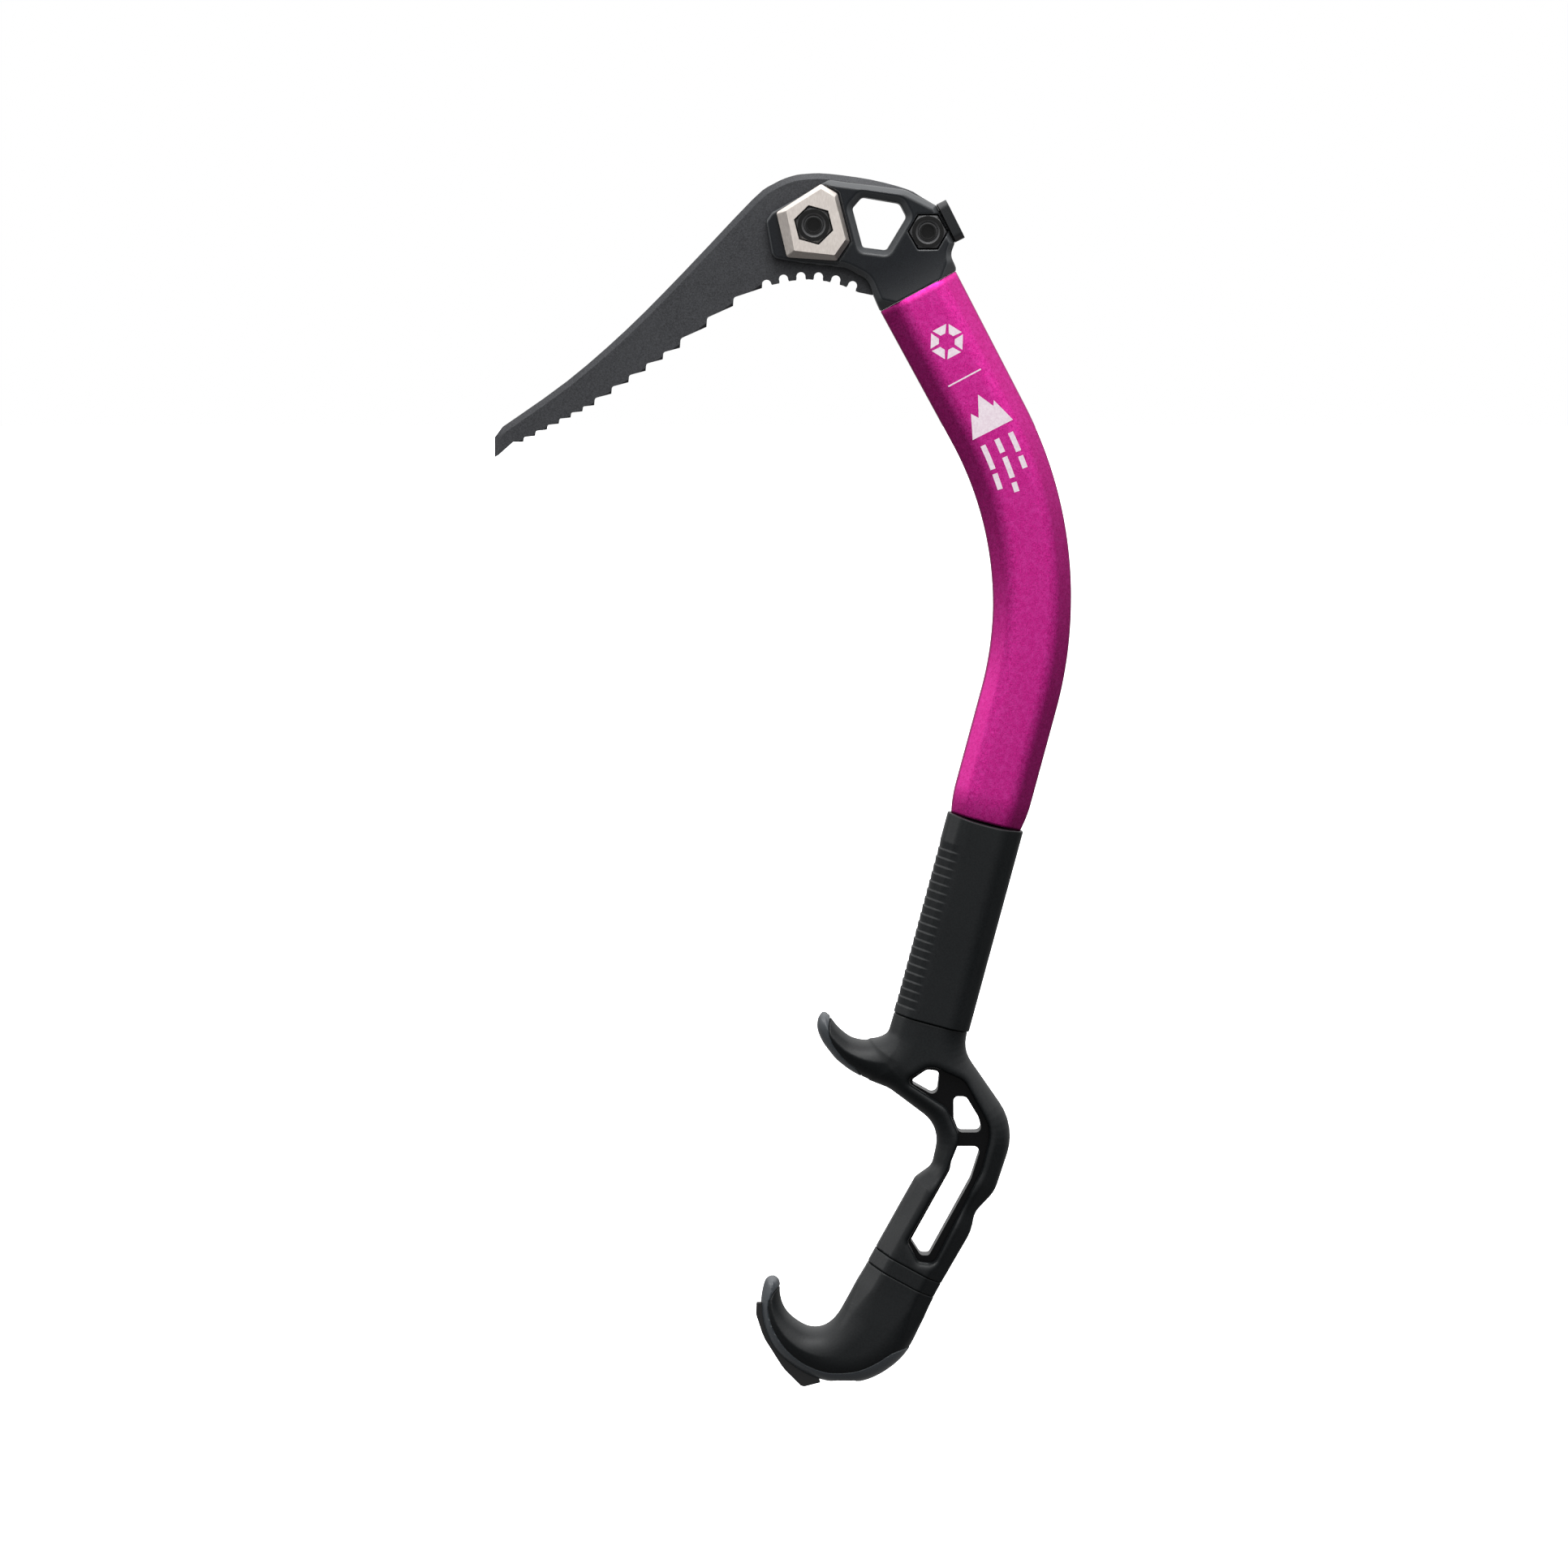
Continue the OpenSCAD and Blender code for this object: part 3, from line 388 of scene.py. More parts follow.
def head_field(x, y, z):
    """Forged head: cheeks blended into the collar, with seats, slot, window and pockets."""
    depth = np.abs(y)
    u, w = local(COLLAR, UPPER_LEAN, x, z)
    swell = (SHAFT_DEPTH / 2 + 0.1 - HEAD_HALF) * np.clip(1 - w / 15, 0, 1) ** 2
    side = plan(CHEEK, x, z)
    solid = block(side, depth - HEAD_HALF - swell, 1.0)
    solid = both(solid, 0.8 * side + 0.6 * (depth - HEAD_HALF - swell + 3), 0.6)
    reach = SHAFT_TOP_WIDTH / 2 + 0.1 + np.maximum(w, 0)
    facet = 0.73 * (np.abs(u) - reach) + 0.68 * (depth - 0.34 * SHAFT_DEPTH / 2)
    solid = both(solid, both(np.abs(u) - reach, facet, 2), 1)
    solid = block(solid, -w, 0.3)
    seat = np.maximum(plan(SEAT, x, z), SEAT_HALF - depth)
    solid = both(solid, -seat, 0.5)
    slot = np.maximum(plan(SLOT, x, z), depth - SLOT_HALF)
    solid = both(solid, -slot, 0.4)
    window = plan(WINDOW, x, z)
    solid = both(solid, -window, 0.5)
    solid = both(solid, -(window - depth + HEAD_HALF - 2.6) * 0.71, 0.5)
    hx, hz = x - HAMMER_BOLT[0], z - HAMMER_BOLT[1]
    pocket = np.maximum(hexagon(hx, hz, POCKET_FLAT), y + POCKET_FLOOR)
    solid = both(solid, -pocket, 0.4)
    bore = np.maximum(np.hypot(hx, hz) - HEAD_BORE, POCKET_FLOOR - y)
    solid = both(solid, -bore, 0.4)
    solid = np.maximum(solid, BOLT_HOLE - np.hypot(hx, hz))
    return np.maximum(solid, BOLT_HOLE - np.hypot(x - PICK_BOLT[0], z - PICK_BOLT[1]))


head = surface("head_forging", head_field, (-49, -13, -38), (36, 13, 21), 0.42)
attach(head, "root")
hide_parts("head")

# ---------- shaft ----------

# Section of the shaft, of width 2 and depth 2
SECTION = rounded([[1, -0.34, 0.3], [1, 0.34, 0.3], [0.56, 1, 0.45], [-0.56, 1, 0.45],
                   [-1, 0.34, 0.3], [-1, -0.34, 0.3], [-0.56, -1, 0.45], [0.56, -1, 0.45]], 6)


def shaft_size(s):
    """Width and depth of the shaft at the distance s: it tapers, then necks in at the grip."""
    width = SHAFT_TOP_WIDTH - (SHAFT_TOP_WIDTH - SHAFT_WIDTH) * min(1, s / 140)
    near = min(max((s - GRIP_START + 12) / 12, 0), 1)
    ease = near * near
    return width - 2.6 * ease, SHAFT_DEPTH - 3.2 * ease


def shaft_ring(s, width, depth):
    """Ring of the section at the distance s."""
    centre, side = shaft_point(s), across(shaft_lean(s))
    plan_points = centre + SECTION[:, :1] * width / 2 * side
    return np.stack([plan_points[:, 0], SECTION[:, 1] * depth / 2, plan_points[:, 1]], axis=1)


def sweep(name, rings):
    """Closed skin through a list of rings, with flat ends."""
    n = len(rings[0])
    faces = [(i * n + k, (i + 1) * n + k, (i + 1) * n + (k + 1) % n, i * n + (k + 1) % n)
             for i in range(len(rings) - 1) for k in range(n)]
    faces.append(tuple(range(n)))
    faces.append(tuple(range((len(rings) - 1) * n, len(rings) * n))[::-1])
    obj = add_mesh(name, np.concatenate(rings) / 1000, faces)
    for face in list(obj.data.polygons)[-2:]:
        face.use_smooth = False
    return obj


stations = np.concatenate([[0.05, 0.3], np.arange(3, GRIP_START - 12, 3),
                           np.linspace(GRIP_START - 12, GRIP_START - 0.02, 13)])
rings = [shaft_ring(s, *shaft_size(s)) for s in stations]
rings[0] = shaft_ring(0.05, SHAFT_TOP_WIDTH - 0.5, SHAFT_DEPTH - 0.5)
shaft = sweep("shaft_tube", rings)
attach(shaft, "root")
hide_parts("shaft")

# ---------- grip sleeve ----------

GRIP_LENGTH = GRIP_END - GRIP_START
# Steps on the finger side: count, pitch, depth, and height of the first above the lower seam
STEPS = 20
STEP_PITCH = 3.5
STEP_DEPTH = 0.4
FIRST_STEP = 3.7


def grip_field(u, y, w):
    """Grip sleeve in its own coordinates: w runs up the shaft from its lower seam."""
    side = np.abs(u) - GRIP_WIDTH / 2
    solid = moulded(side, y, GRIP_DEPTH / 2, 4, 2.5)
    phase = (w - FIRST_STEP) / STEP_PITCH
    rise = phase - np.floor(phase)
    cut = np.minimum(1 - rise, rise / 0.12) * ((phase > 0) & (phase < STEPS))
    reach = np.clip((-u - 7.5) / 2.5, 0, 1)
    solid = solid + STEP_DEPTH * cut * reach
    arch = 1.0 * (1 - (u / 16) ** 2)
    solid = block(solid, w - GRIP_LENGTH + arch * (np.abs(y) / 12.5), 0.5)
    solid = block(solid, 0.06 - w, 0.3)
    bore = np.maximum(np.abs(u) - NECK_WIDTH / 2, np.abs(y) - NECK_DEPTH / 2)
    corner = 0.72 * (np.abs(u) - NECK_WIDTH / 2) + 0.69 * (np.abs(y) - 0.17 * NECK_DEPTH)
    return np.maximum(solid, -np.maximum(bore, corner))


grip = surface("grip_sleeve", grip_field, (-17, -13.5, -1), (17, 13.5, GRIP_LENGTH + 1),
               (0.5, 0.5, 0.25), placed(shaft_point(GRIP_END), LOWER_LEAN))
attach(grip, "root")
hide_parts("upper_grip")

# ---------- handle ----------


def hook(stations, x, y, z, r, ease):
    """Curved hand rest, by its inner and outer edges and its depth."""
    inner = curve([s[0] for s in stations], 5)
    outer = curve([s[1] for s in stations], 5)
    depth = curve([[s[2]] for s in stations], 5)[:, 0]
    d = plan(np.concatenate([inner, outer[::-1]]), x, z)
    half = along((inner + outer) / 2, depth / 2, x, z)
    return moulded(d, y, half, r, ease)


def prong_slots(u, y):
    """The two slots for the pommel's prongs, in the coordinates of the lower handle."""
    return np.maximum(np.abs(np.abs(u) - PRONG_X) - PRONG_ROOM, np.abs(y) - PRONG_ROOM - 1)


def handle_solid(x, y, z):
    """Handle with its upper hand rest, before the hard rim is taken off."""
    ease = np.interp(z, [-400, -370], [CREASE, 4])
    arms = moulded(plan(HANDLE, x, z), y, HANDLE_HALF, 5, ease)
    arms = both(arms, -plan(WEB, x, z), 3.5)
    return either(arms, hook(REST, x, y, z, 5, 4), 2)


def overmould_field(x, y, z):
    """Rubber of the handle, between the grip's seam and the spacer's."""
    _, up = local(shaft_point(GRIP_END), LOWER_LEAN, x, z)
    side, foot = local(JOINT, POMMEL_LEAN, x, z)
    solid = block(handle_solid(x, y, z), -plan(REST_RIM, x, z) + 0.08, 0.3)
    solid = block(block(solid, up + 0.06, 0.6), 0.06 - foot, 0.3)
    core = np.maximum(plan(CORE, x, z), np.abs(y) - FRAME_HALF)
    solid = np.maximum(solid, -core)
    return np.maximum(solid, -np.maximum(prong_slots(side, y), foot - PRONG_LENGTH))


overmould = surface("handle_rubber", overmould_field, (-27, -13, -438), (55, 13, -320), 0.5)
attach(overmould, "root")
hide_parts("handle_overmould")


def rest_rim_field(x, y, z):
    """Hard rim on the outside of the upper hand rest, standing just proud of the rubber."""
    return block(handle_solid(x, y, z) - 0.15, plan(REST_RIM, x, z) - 0.1, 0.5)


rest_rim = surface("rest_rim", rest_rim_field, (-28, -12, -353), (-5, 12, -319), 0.35)
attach(rest_rim, "root")
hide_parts("trigger_rim")

# ---------- spacer and pommel ----------


def spacer_field(u, y, w):
    """Ring between the handle and the pommel, in the coordinates of the lower handle."""
    ring = moulded(np.abs(u) - LOWER_WIDTH / 2, y, HANDLE_HALF, 5, CREASE)
    ring = block(block(ring, w + 0.08, 0.3), -SPACER + 0.08 - w, 0.3)
    ring = np.maximum(ring, POMMEL_BORE + 0.05 - np.hypot(u, y))
    return np.maximum(ring, -prong_slots(u, y))


spacer = surface("spacer_ring", spacer_field, (-17, -12.5, -7.5), (17, 12.5, 1), 0.35,
                 placed(JOINT, POMMEL_LEAN))
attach(spacer, "pommel_unit")
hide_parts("spacer")


def pommel_solid(x, y, z):
    """Pommel and its hook, hollow for its core, its bolt and the spike."""
    u, w = local(JOINT, POMMEL_LEAN, x, z)
    solid = hook(POMMEL, x, y, z, 5, np.interp(w, [-28, -16], [4, CREASE]))
    core = np.maximum(np.maximum(np.abs(u) - 10, np.abs(y) - CORE_HALF + 0.5), -38 - w)
    arm = np.maximum(plan(ARM, x, z), np.abs(y) - CORE_HALF)
    solid = np.maximum(np.maximum(solid, -core), -arm)
    bore = np.where(w < -COUNTERBORE, COUNTERBORE_RADIUS, POMMEL_BORE) - np.hypot(u, y)
    solid = np.maximum(solid, bore)
    return both(solid, -np.maximum(plan(SPIKE_SLOT, x, z), np.abs(y) - SPIKE_HALF), 0.3)


def pommel_grip_field(x, y, z):
    """Rubber of the pommel, up to the spacer's seam."""
    _, w = local(JOINT, POMMEL_LEAN, x, z)
    solid = block(pommel_solid(x, y, z), -plan(POMMEL_RIM, x, z) + 0.08, 0.3)
    return block(solid, w + SPACER + 0.06, 0.3)


def pommel_rim_field(x, y, z):
    """Hard rim round the outside of the hook, just proud of the rubber."""
    return block(pommel_solid(x, y, z) - 0.15, plan(POMMEL_RIM, x, z) - 0.1, 0.5)


pommel_grip = surface("pommel_rubber", pommel_grip_field, (-48, -14, -475), (26, 14, -423), 0.45)
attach(pommel_grip, "pommel_unit")
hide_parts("pommel_grip")

pommel_rim = surface("hook_rim", pommel_rim_field, (-51, -14, -479), (16, 14, -430), 0.45)
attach(pommel_rim, "pommel_unit")
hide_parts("pommel_rim")

# ---------- CAD nodes that stay ----------


def soften(node, width, angle=25.0):
    """Rounds the sharp edges of a CAD node by a width in millimetres."""
    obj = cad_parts[node]
    weld = obj.modifiers.new("weld", "WELD")
    weld.merge_threshold = 2e-6
    if width:
        bevel = obj.modifiers.new("bevel", "BEVEL")
        bevel.width = width / 1000
        bevel.segments = 3
        bevel.limit_method = "ANGLE"
        bevel.angle_limit = math.radians(angle)
        bevel.harden_normals = True
    obj.data.polygons.foreach_set("use_smooth", [True] * len(obj.data.polygons))
    shade = obj.modifiers.new("normals", "WEIGHTED_NORMAL")
    shade.keep_sharp = True


# Width by which each node's edges are rounded
EASED = {"pick": 0.18, "pick_weight_near": 0.5, "pick_weight_far": 0.5, "pick_bolt": 0.25,
         "pick_nut": 0.2, "pick_washer": 0.2, "hammer": 0.7, "hammer_bolt": 0.25,
         "hammer_nut": 0.2, "hammer_washer": 0.2, "handle_frame": 0.4, "handle_pins": 0.2,
         "pommel_core": 0.3, "spike": 0.35, "spike_pins": 0.2, "pommel_bolt": 0.25,
         "pommel_washer": 0.15, "pommel_insert": 0.1}
for node, width in EASED.items():
    soften(node, width)

# ---------- printed marks on the shaft ----------


def print_mark(name, outline_points):
    """Thin printed patch on the flat of the shaft, from points (across, along the shaft)."""
    dense = []
    for a, b in zip(outline_points, np.roll(outline_points, -1, axis=0)):
        steps = max(1, math.ceil(np.linalg.norm(b - a) / 2))
        dense.extend(a + (b - a) * k / steps for k in range(steps))
    rings = []
    for y in (-SHAFT_DEPTH / 2 - 0.05, -SHAFT_DEPTH / 2 + 0.1):
        flat = [shaft_point(s) + u * across(shaft_lean(s)) for u, s in dense]
        rings.append([[p[0], y, p[1]] for p in flat])
    n = len(dense)
    faces = [tuple(range(n))[::-1], tuple(range(n, 2 * n))]
    faces += [(k, (k + 1) % n, n + (k + 1) % n, n + k) for k in range(n)]
    obj = add_mesh(name, np.array(rings).reshape(-1, 3) / 1000, faces)
    obj.data.polygons.foreach_set("use_smooth", [False] * len(obj.data.polygons))
    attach(obj, "root")
    return obj


def bar(u0, u1, s0, s1):
    """Corners of a straight bar."""
    return np.array([[u0, s0], [u1, s0], [u1, s1], [u0, s1]], float)


marks = []
# Emblem: a ring of six slabs
EMBLEM_AT = np.array([0.5, 23.5])
for k in range(6):
    corners = [(7.2, 60 * k + 4), (7.2, 60 * k + 56), (3.4, 60 * k + 48), (3.4, 60 * k + 12)]
    points = [EMBLEM_AT + r * np.array([math.cos(math.radians(a)), math.sin(math.radians(a))])
              for r, a in corners]
    marks.append(print_mark(f"emblem_{k}", np.array(points)))
marks.append(print_mark("divider", bar(-7.5, 7.5, 39.6, 40.2)))
PEAKS = np.array([[-9, 64], [-4.6, 54], [-2.6, 57], [1.6, 48.5], [5, 55.5], [6.2, 53.5],
                  [9.4, 64]])
marks.append(print_mark("peaks", PEAKS))
# Three rows of dashes, by their lengths
DASHES_START = 68
DASH_ROWS = [(8, 5), (6, 9, 4), (11, 7)]
for row, lengths in enumerate(DASH_ROWS):
    u = 6.2 - 6.2 * row
    s = DASHES_START
    for k, length in enumerate(lengths):
        marks.append(print_mark(f"dash_{row}_{k}", bar(u - 1.1, u + 1.1, s, s + length)))
        s += length + 2

# ---------- materials ----------


def add_node(tree, kind, inputs, operation=None):
    """Adds a node and sets or links its inputs, by name or number."""
    made = tree.nodes.new(kind)
    if operation:
        made.operation = operation
    for key, value in inputs.items():
        if isinstance(value, bpy.types.NodeSocket):
            tree.links.new(value, made.inputs[key])
        else:
            made.inputs[key].default_value = value
    return made.outputs[0]


class Surface:
    """A node material that is built up one layer at a time."""

    def __init__(self, name, metallic=0.0, roughness=0.5, specular=0.5):
        self.material = bpy.data.materials.new(name)
        self.material.use_nodes = True
        self.tree = self.material.node_tree
        self.shader = self.tree.nodes["Principled BSDF"]
        self.shader.inputs["Metallic"].default_value = metallic
        self.shader.inputs["Roughness"].default_value = roughness
        self.shader.inputs["Specular IOR Level"].default_value = specular
        place = self.tree.nodes.new("ShaderNodeTexCoord")
        self.position = place.outputs["Object"]
        self.normal = place.outputs["Normal"]
        self.relief = None

    def noise(self, size, detail=3.0, stretch=(1, 1, 1)):
        """Noise with features of a size in millimetres, stretched along the axes."""
        scaled = add_node(self.tree, "ShaderNodeMapping",
                          {"Vector": self.position, "Scale": stretch})
        return add_node(self.tree, "ShaderNodeTexNoise",
                        {"Vector": scaled, "Scale": 1000 / size, "Detail": detail})

    def ramp(self, value, low, high, start=0.0, end=1.0):
        """Maps a value between low and high onto start to end."""
        return add_node(self.tree, "ShaderNodeMapRange",
                        {0: value, 1: low, 2: high, 3: start, 4: end})

    def mix(self, factor, a, b):
        """Mix of two colours."""
        made = self.tree.nodes.new("ShaderNodeMix")
        made.data_type = "RGBA"
        for socket, value in ((made.inputs[0], factor), (made.inputs[6], a), (made.inputs[7], b)):
            if isinstance(value, bpy.types.NodeSocket):
                self.tree.links.new(value, socket)
            elif isinstance(value, tuple):
                socket.default_value = (*value, 1.0)
            else:
                socket.default_value = value
        return made.outputs[2]

    def colour(self, value):
        self.tree.links.new(value, self.shader.inputs["Base Color"])

    def rough(self, value):
        self.tree.links.new(value, self.shader.inputs["Roughness"])

    def bump(self, value, distance, strength=1.0):
        """Adds relief of a depth in millimetres on top of what there is."""
        inputs = {"Height": value, "Distance": distance / 1000, "Strength": strength}
        if self.relief is not None:
            inputs["Normal"] = self.relief
        self.relief = add_node(self.tree, "ShaderNodeBump", inputs)
        self.tree.links.new(self.relief, self.shader.inputs["Normal"])


def speckled(name, dark, light, grain, metallic, roughness, relief, specular=0.5, bevel_highlight=None):
    """Surface with a fine two-tone grain, soft cloudy wear and a matching relief. Where a bevel
    highlight colour is given, the slopes between the flats and the sides are painted towards
    it: a painted highlight along the bevels."""
    s = Surface(name, metallic, roughness, specular)
    fine = s.noise(grain, 2.0)
    cloud = s.noise(18, 4.0)
    tone = s.mix(s.ramp(fine, 0.3, 0.7), dark, light)
    tone = s.mix(s.ramp(cloud, 0.35, 0.7, 0.0, 0.25), tone, light)
    # Painted highlight: faces that slope between the front and the side are lightened towards the
    # highlight colour
    if bevel_highlight:
        split = s.tree.nodes.new("ShaderNodeSeparateXYZ")
        s.tree.links.new(s.normal, split.inputs[0])
        flat = add_node(s.tree, "ShaderNodeMath", {0: split.outputs["Y"]}, "ABSOLUTE")
        slope = s.ramp(flat, 0.97, 0.8)
        tone = s.mix(add_node(s.tree, "ShaderNodeMath", {0: slope, 1: s.ramp(flat, 0.2, 0.5)},
                              "MULTIPLY"), tone, bevel_highlight)
    s.colour(tone)
    s.rough(s.ramp(cloud, 0.3, 0.7, roughness - 0.04, roughness + 0.05))
    s.bump(fine, relief, 0.4)
    return s.material


def anodised(name):
    """Magenta anodised aluminium with a fine sparkle, and painted shade that darkens it where it
    turns away from view.
    """
    s = Surface(name, 1.0, 0.45)
    fine = s.noise(0.5, 2.0)
    coarse = s.noise(1.5, 2.0)
    cloud = s.noise(40, 3.0)
    turned_away_shade = s.tree.nodes.new("ShaderNodeLayerWeight").outputs["Facing"]
    base = s.mix(s.ramp(fine, 0.3, 0.7), (0.5, 0.007, 0.21), (0.9, 0.036, 0.43))
    base = s.mix(s.ramp(coarse, 0.4, 0.75, 0.0, 0.35), base, (0.98, 0.1, 0.6))
    base = s.mix(s.ramp(cloud, 0.3, 0.7, 0.0, 0.15), base, (0.5, 0.01, 0.24))
    # Painted shade: the colour is pulled towards a dark magenta where the surface turns away from
    # view
    s.colour(s.mix(s.ramp(turned_away_shade, 0.12, 0.65, 0.0, 0.7), base, (0.26, 0.003, 0.1)))
    s.rough(s.ramp(fine, 0.3, 0.7, 0.4, 0.52))
    s.bump(fine, 0.03, 0.6)
    s.shader.inputs["Coat Weight"].default_value = 0.2
    s.shader.inputs["Coat Roughness"].default_value = 0.35
    return s.material


def brushed(name, dark, light, roughness, stretch):
    """Metal with fine lines along one direction."""
    s = Surface(name, 1.0, roughness)
    lines = s.noise(0.5, 3.0, stretch)
    cloud = s.noise(6, 3.0)
    tone = s.mix(s.ramp(lines, 0.3, 0.7), dark, light)
    s.colour(s.mix(s.ramp(cloud, 0.4, 0.7, 0.0, 0.3), tone, dark))
    s.rough(s.ramp(lines, 0.3, 0.7, roughness - 0.06, roughness + 0.06))
    s.bump(lines, 0.01, 0.5)
    return s.material


# For head_alloy, black_steel, hammer_steel and rim_plastic the last colour is a painted highlight
# laid on the bevels
MATERIALS = {
    "pick_steel": speckled("pick_steel", (0.018, 0.0185, 0.021), (0.055, 0.057, 0.063),
                           0.45, 0.2, 0.5, 0.03, 0.4),
    "head_alloy": speckled("head_alloy", (0.003, 0.004, 0.006), (0.007, 0.009, 0.012),
                           0.6, 0.0, 0.27, 0.01, 0.33, (0.06, 0.063, 0.067)),
    "weight_steel": brushed("weight_steel", (0.68, 0.62, 0.575), (0.8, 0.745, 0.7), 0.5,
                            (1, 1, 0.3)),
    "black_steel": speckled("black_steel", (0.003, 0.003, 0.003), (0.008, 0.008, 0.008),
                            0.4, 0.0, 0.14, 0.01, 0.3, (0.07, 0.07, 0.072)),
    "hammer_steel": speckled("hammer_steel", (0.005, 0.006, 0.007), (0.012, 0.013, 0.015),
                             0.5, 0.0, 0.34, 0.02, 0.35, (0.04, 0.04, 0.042)),
    "shaft_alloy": anodised("shaft_alloy"),
    "grip_rubber": speckled("grip_rubber", (0.003, 0.004, 0.005), (0.008, 0.0095, 0.0105),
                            0.7, 0.0, 0.4, 0.03, 0.28),
    "frame_plastic": speckled("frame_plastic", (0.002, 0.002, 0.0023), (0.004, 0.004, 0.0045),
                              0.8, 0.0, 0.24, 0.01, 0.12),
    "rim_plastic": speckled("rim_plastic", (0.016, 0.021, 0.026), (0.032, 0.04, 0.048),
                            0.5, 0.0, 0.26, 0.015, 0.5, (0.065, 0.072, 0.08)),
    "spike_steel": speckled("spike_steel", (0.004, 0.004, 0.0045), (0.01, 0.01, 0.011),
                            0.5, 0.0, 0.38, 0.02),
    "pin_steel": brushed("pin_steel", (0.42, 0.42, 0.44), (0.6, 0.6, 0.62), 0.3, (0.1, 1, 1)),
    "insert_brass": brushed("insert_brass", (0.6, 0.42, 0.16), (0.8, 0.6, 0.3), 0.3, (1, 0.1, 1)),
    "ink": speckled("ink", (0.74, 0.6, 0.68), (0.86, 0.76, 0.82), 0.8, 0.0, 0.6, 0.01),
}

# Material of each node
WEARS = {"pick": "pick_steel", "pick_weight_near": "weight_steel",
         "pick_weight_far": "weight_steel", "pick_bolt": "black_steel",
         "pick_nut": "black_steel", "pick_washer": "black_steel", "hammer": "hammer_steel",
         "hammer_bolt": "black_steel", "hammer_nut": "black_steel",
         "hammer_washer": "black_steel", "handle_frame": "frame_plastic",
         "handle_pins": "pin_steel", "pommel_core": "frame_plastic", "spike": "spike_steel",
         "spike_pins": "pin_steel", "pommel_bolt": "black_steel", "pommel_washer": "pin_steel",
         "pommel_insert": "insert_brass", "head": "head_alloy", "shaft": "shaft_alloy",
         "upper_grip": "grip_rubber", "handle_overmould": "grip_rubber",
         "trigger_rim": "rim_plastic", "spacer": "grip_rubber", "pommel_grip": "grip_rubber",
         "pommel_rim": "rim_plastic"}


def wear(obj, name):
    """Gives an object one material."""
    obj.data.materials.clear()
    obj.data.materials.append(MATERIALS[name])


for node, name in WEARS.items():
    wear(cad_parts[node], name)
for obj, name in ((head, "head_alloy"), (shaft, "shaft_alloy"), (grip, "grip_rubber"),
                  (overmould, "grip_rubber"), (rest_rim, "rim_plastic"), (spacer, "grip_rubber"),
                  (pommel_grip, "grip_rubber"), (pommel_rim, "rim_plastic")):
    wear(obj, name)
for mark in marks:
    wear(mark, "ink")

# ---------- floor, light and camera ----------


def floor_material():
    """Pale matt floor with a faint grain, bright enough to run into the backdrop."""
    s = Surface("pale_floor", 0.0, 0.9, 0.1)
    s.colour(s.mix(s.ramp(s.noise(60, 3.0), 0.3, 0.7), (0.86, 0.86, 0.86), (0.9, 0.9, 0.9)))
    s.shader.inputs["Emission Color"].default_value = (1, 1, 1, 1)
    s.shader.inputs["Emission Strength"].default_value = 0.8
    return s.material


bpy.ops.mesh.primitive_plane_add(size=80, location=(0, 0, -0.53))
floor = bpy.context.object
floor.name = "floor"
floor.data.materials.append(floor_material())
floor.visible_diffuse = False
floor.visible_glossy = False


# Light from the sky by the sine of its height, and the extra glow from in front and behind
SKY = [(-1, 0.12), (-0.3, 0.12), (0, 0.24), (0.3, 0.62), (0.6, 1.5), (1, 2.3)]
FRONT_GLOW = 0.28


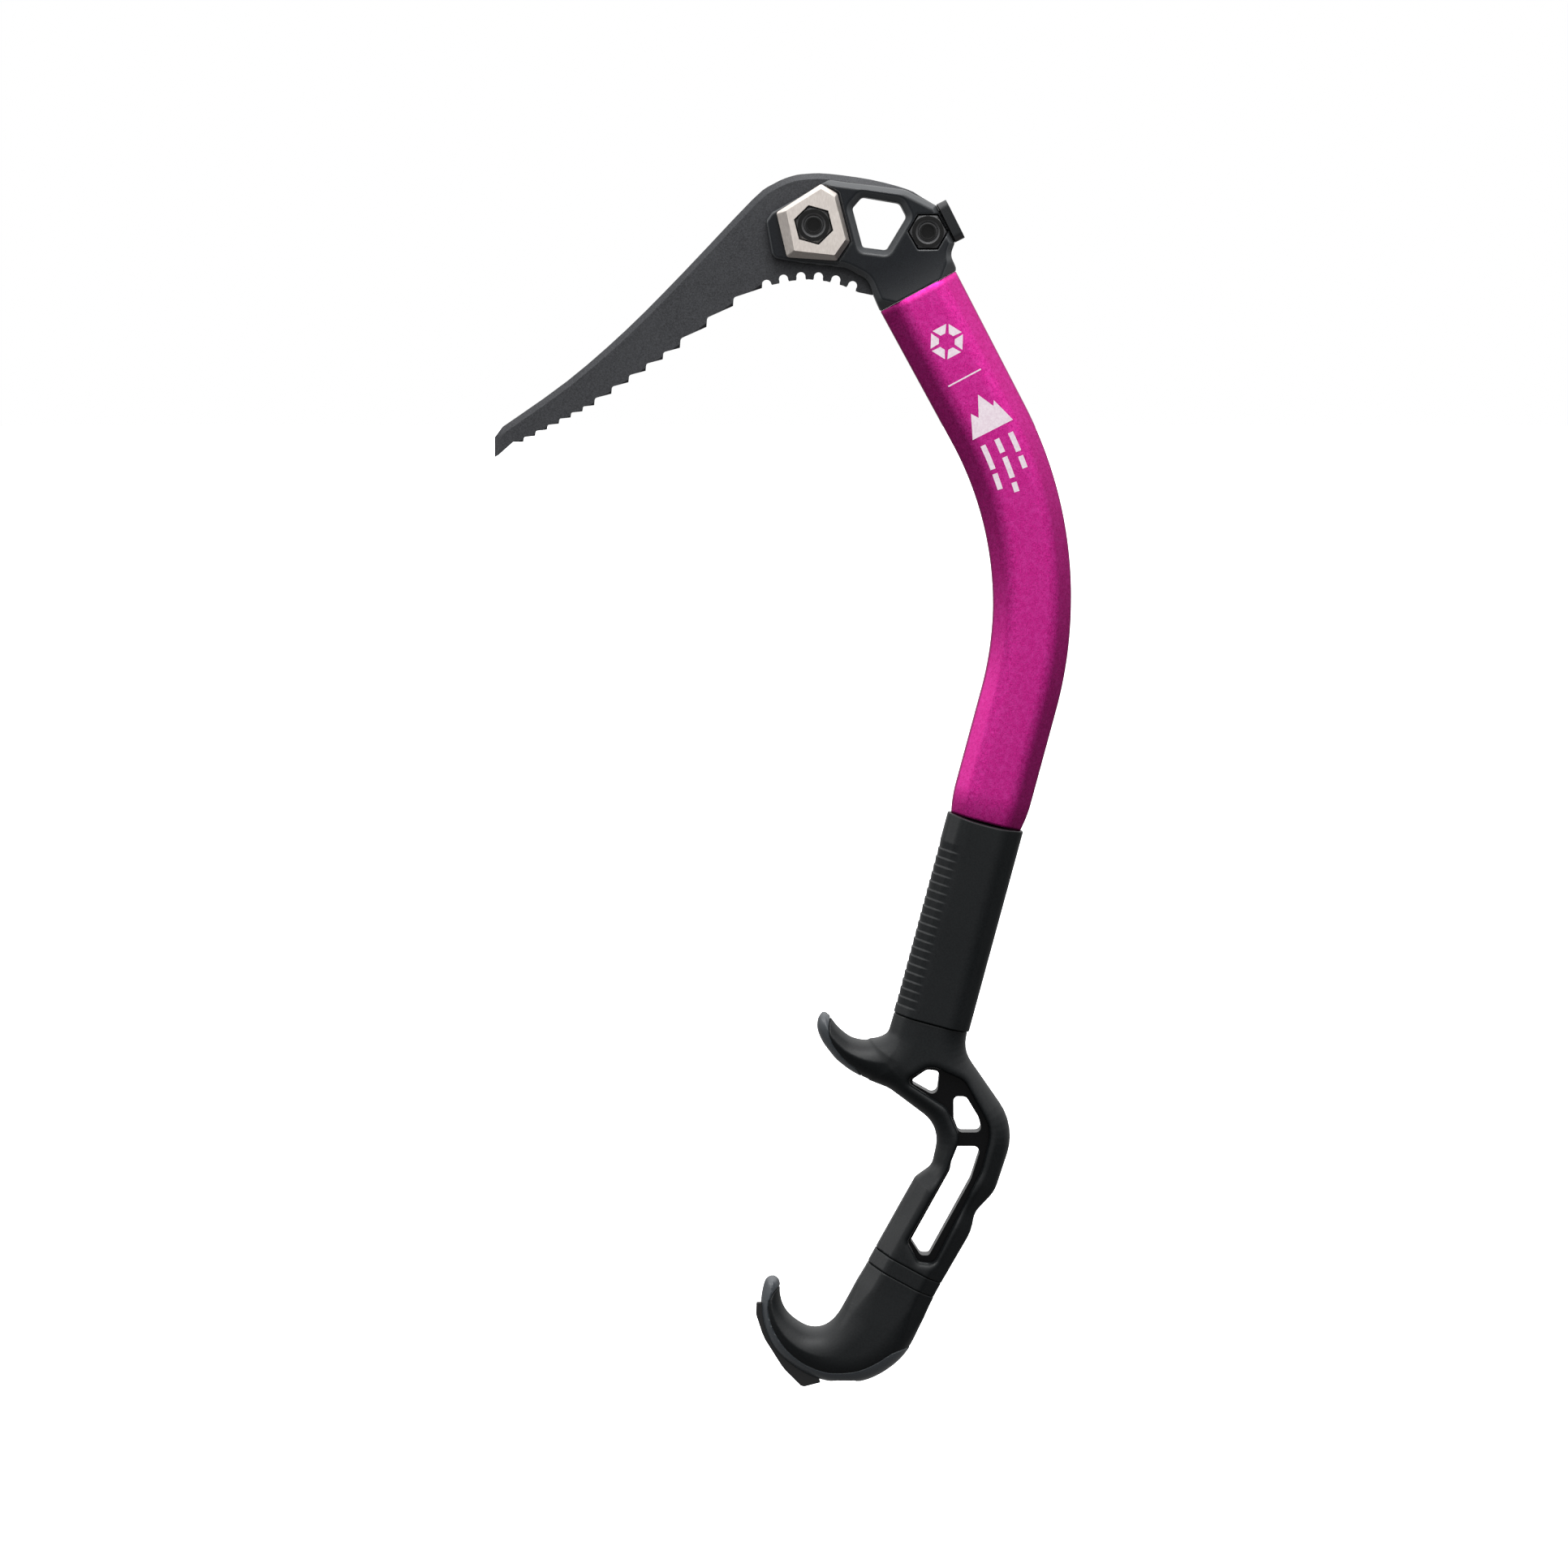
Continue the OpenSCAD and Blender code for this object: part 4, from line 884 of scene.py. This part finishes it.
def studio():
    """White backdrop, and soft light from above that is stronger in front and behind."""
    world = bpy.data.worlds.new("studio")
    world.use_nodes = True
    tree = world.node_tree
    direction = tree.nodes.new("ShaderNodeTexCoord").outputs["Generated"]
    split = tree.nodes.new("ShaderNodeSeparateXYZ")
    tree.links.new(direction, split.inputs[0])
    height = add_node(tree, "ShaderNodeMapRange", {0: split.outputs["Z"], 1: -1, 2: 1})
    grade = tree.nodes.new("ShaderNodeValToRGB")
    tree.links.new(height, grade.inputs[0])
    stops = grade.color_ramp.elements
    for k, (sine, tone) in enumerate(SKY):
        stop = stops[k] if k < 2 else stops.new(0.5 + 0.5 * sine)
        stop.position = 0.5 + 0.5 * sine
        stop.color = (tone, tone, tone, 1)
    facing = add_node(tree, "ShaderNodeMath", {0: split.outputs["Y"]}, "ABSOLUTE")
    facing = add_node(tree, "ShaderNodeMath", {0: facing, 1: 3}, "POWER")
    front = add_node(tree, "ShaderNodeMath", {0: facing, 1: FRONT_GLOW}, "MULTIPLY")
    total = add_node(tree, "ShaderNodeMath", {0: grade.outputs[0], 1: front}, "ADD")
    lit = add_node(tree, "ShaderNodeBackground", {"Color": (1, 1, 1, 1), "Strength": total})
    shown = add_node(tree, "ShaderNodeBackground", {"Color": (1, 1, 1, 1)})
    seen = tree.nodes.new("ShaderNodeLightPath").outputs["Is Camera Ray"]
    blend = add_node(tree, "ShaderNodeMixShader", {0: seen, 1: lit, 2: shown})
    tree.links.new(blend, tree.nodes["World Output"].inputs["Surface"])
    bpy.context.scene.world = world


studio()
# Middle of the tool as it is seen
MIDDLE = Vector((-0.0387, 0.0, -0.2287))


def softbox(name, direction, distance, size, power):
    """Square area light that faces the middle of the tool."""
    lamp = bpy.data.lights.new(name, "AREA")
    lamp.size = size
    lamp.energy = power
    obj = bpy.data.objects.new(name, lamp)
    bpy.context.scene.collection.objects.link(obj)
    obj.location = MIDDLE + Vector(direction).normalized() * distance
    obj.rotation_euler = (MIDDLE - obj.location).to_track_quat("-Z", "Y").to_euler()
    return obj


softbox("key", (0.0, -0.5, 1.2), 1.3, 0.5, 4.5)
softbox("fill", (0.1, -0.8, 0.9), 0.95, 0.5, 1.6)
softbox("side", (-1.0, 0.1, 0.4), 1.3, 0.5, 2)

# Camera: width of what it sees at the tool, its distance, and its height over the level
FRAME_WIDTH = 0.644
DISTANCE = 2.5
ELEVATION = math.radians(4)
camera_data = bpy.data.cameras.new("camera")
camera_data.sensor_width = 36
camera_data.lens = 36 * DISTANCE / FRAME_WIDTH
camera = bpy.data.objects.new("camera", camera_data)
bpy.context.scene.collection.objects.link(camera)
camera.location = MIDDLE + DISTANCE * Vector((0, -math.cos(ELEVATION), math.sin(ELEVATION)))
camera.rotation_euler = (MIDDLE - camera.location).to_track_quat("-Z", "Y").to_euler()
bpy.context.scene.camera = camera
bpy.context.scene.view_settings.view_transform = "Standard"
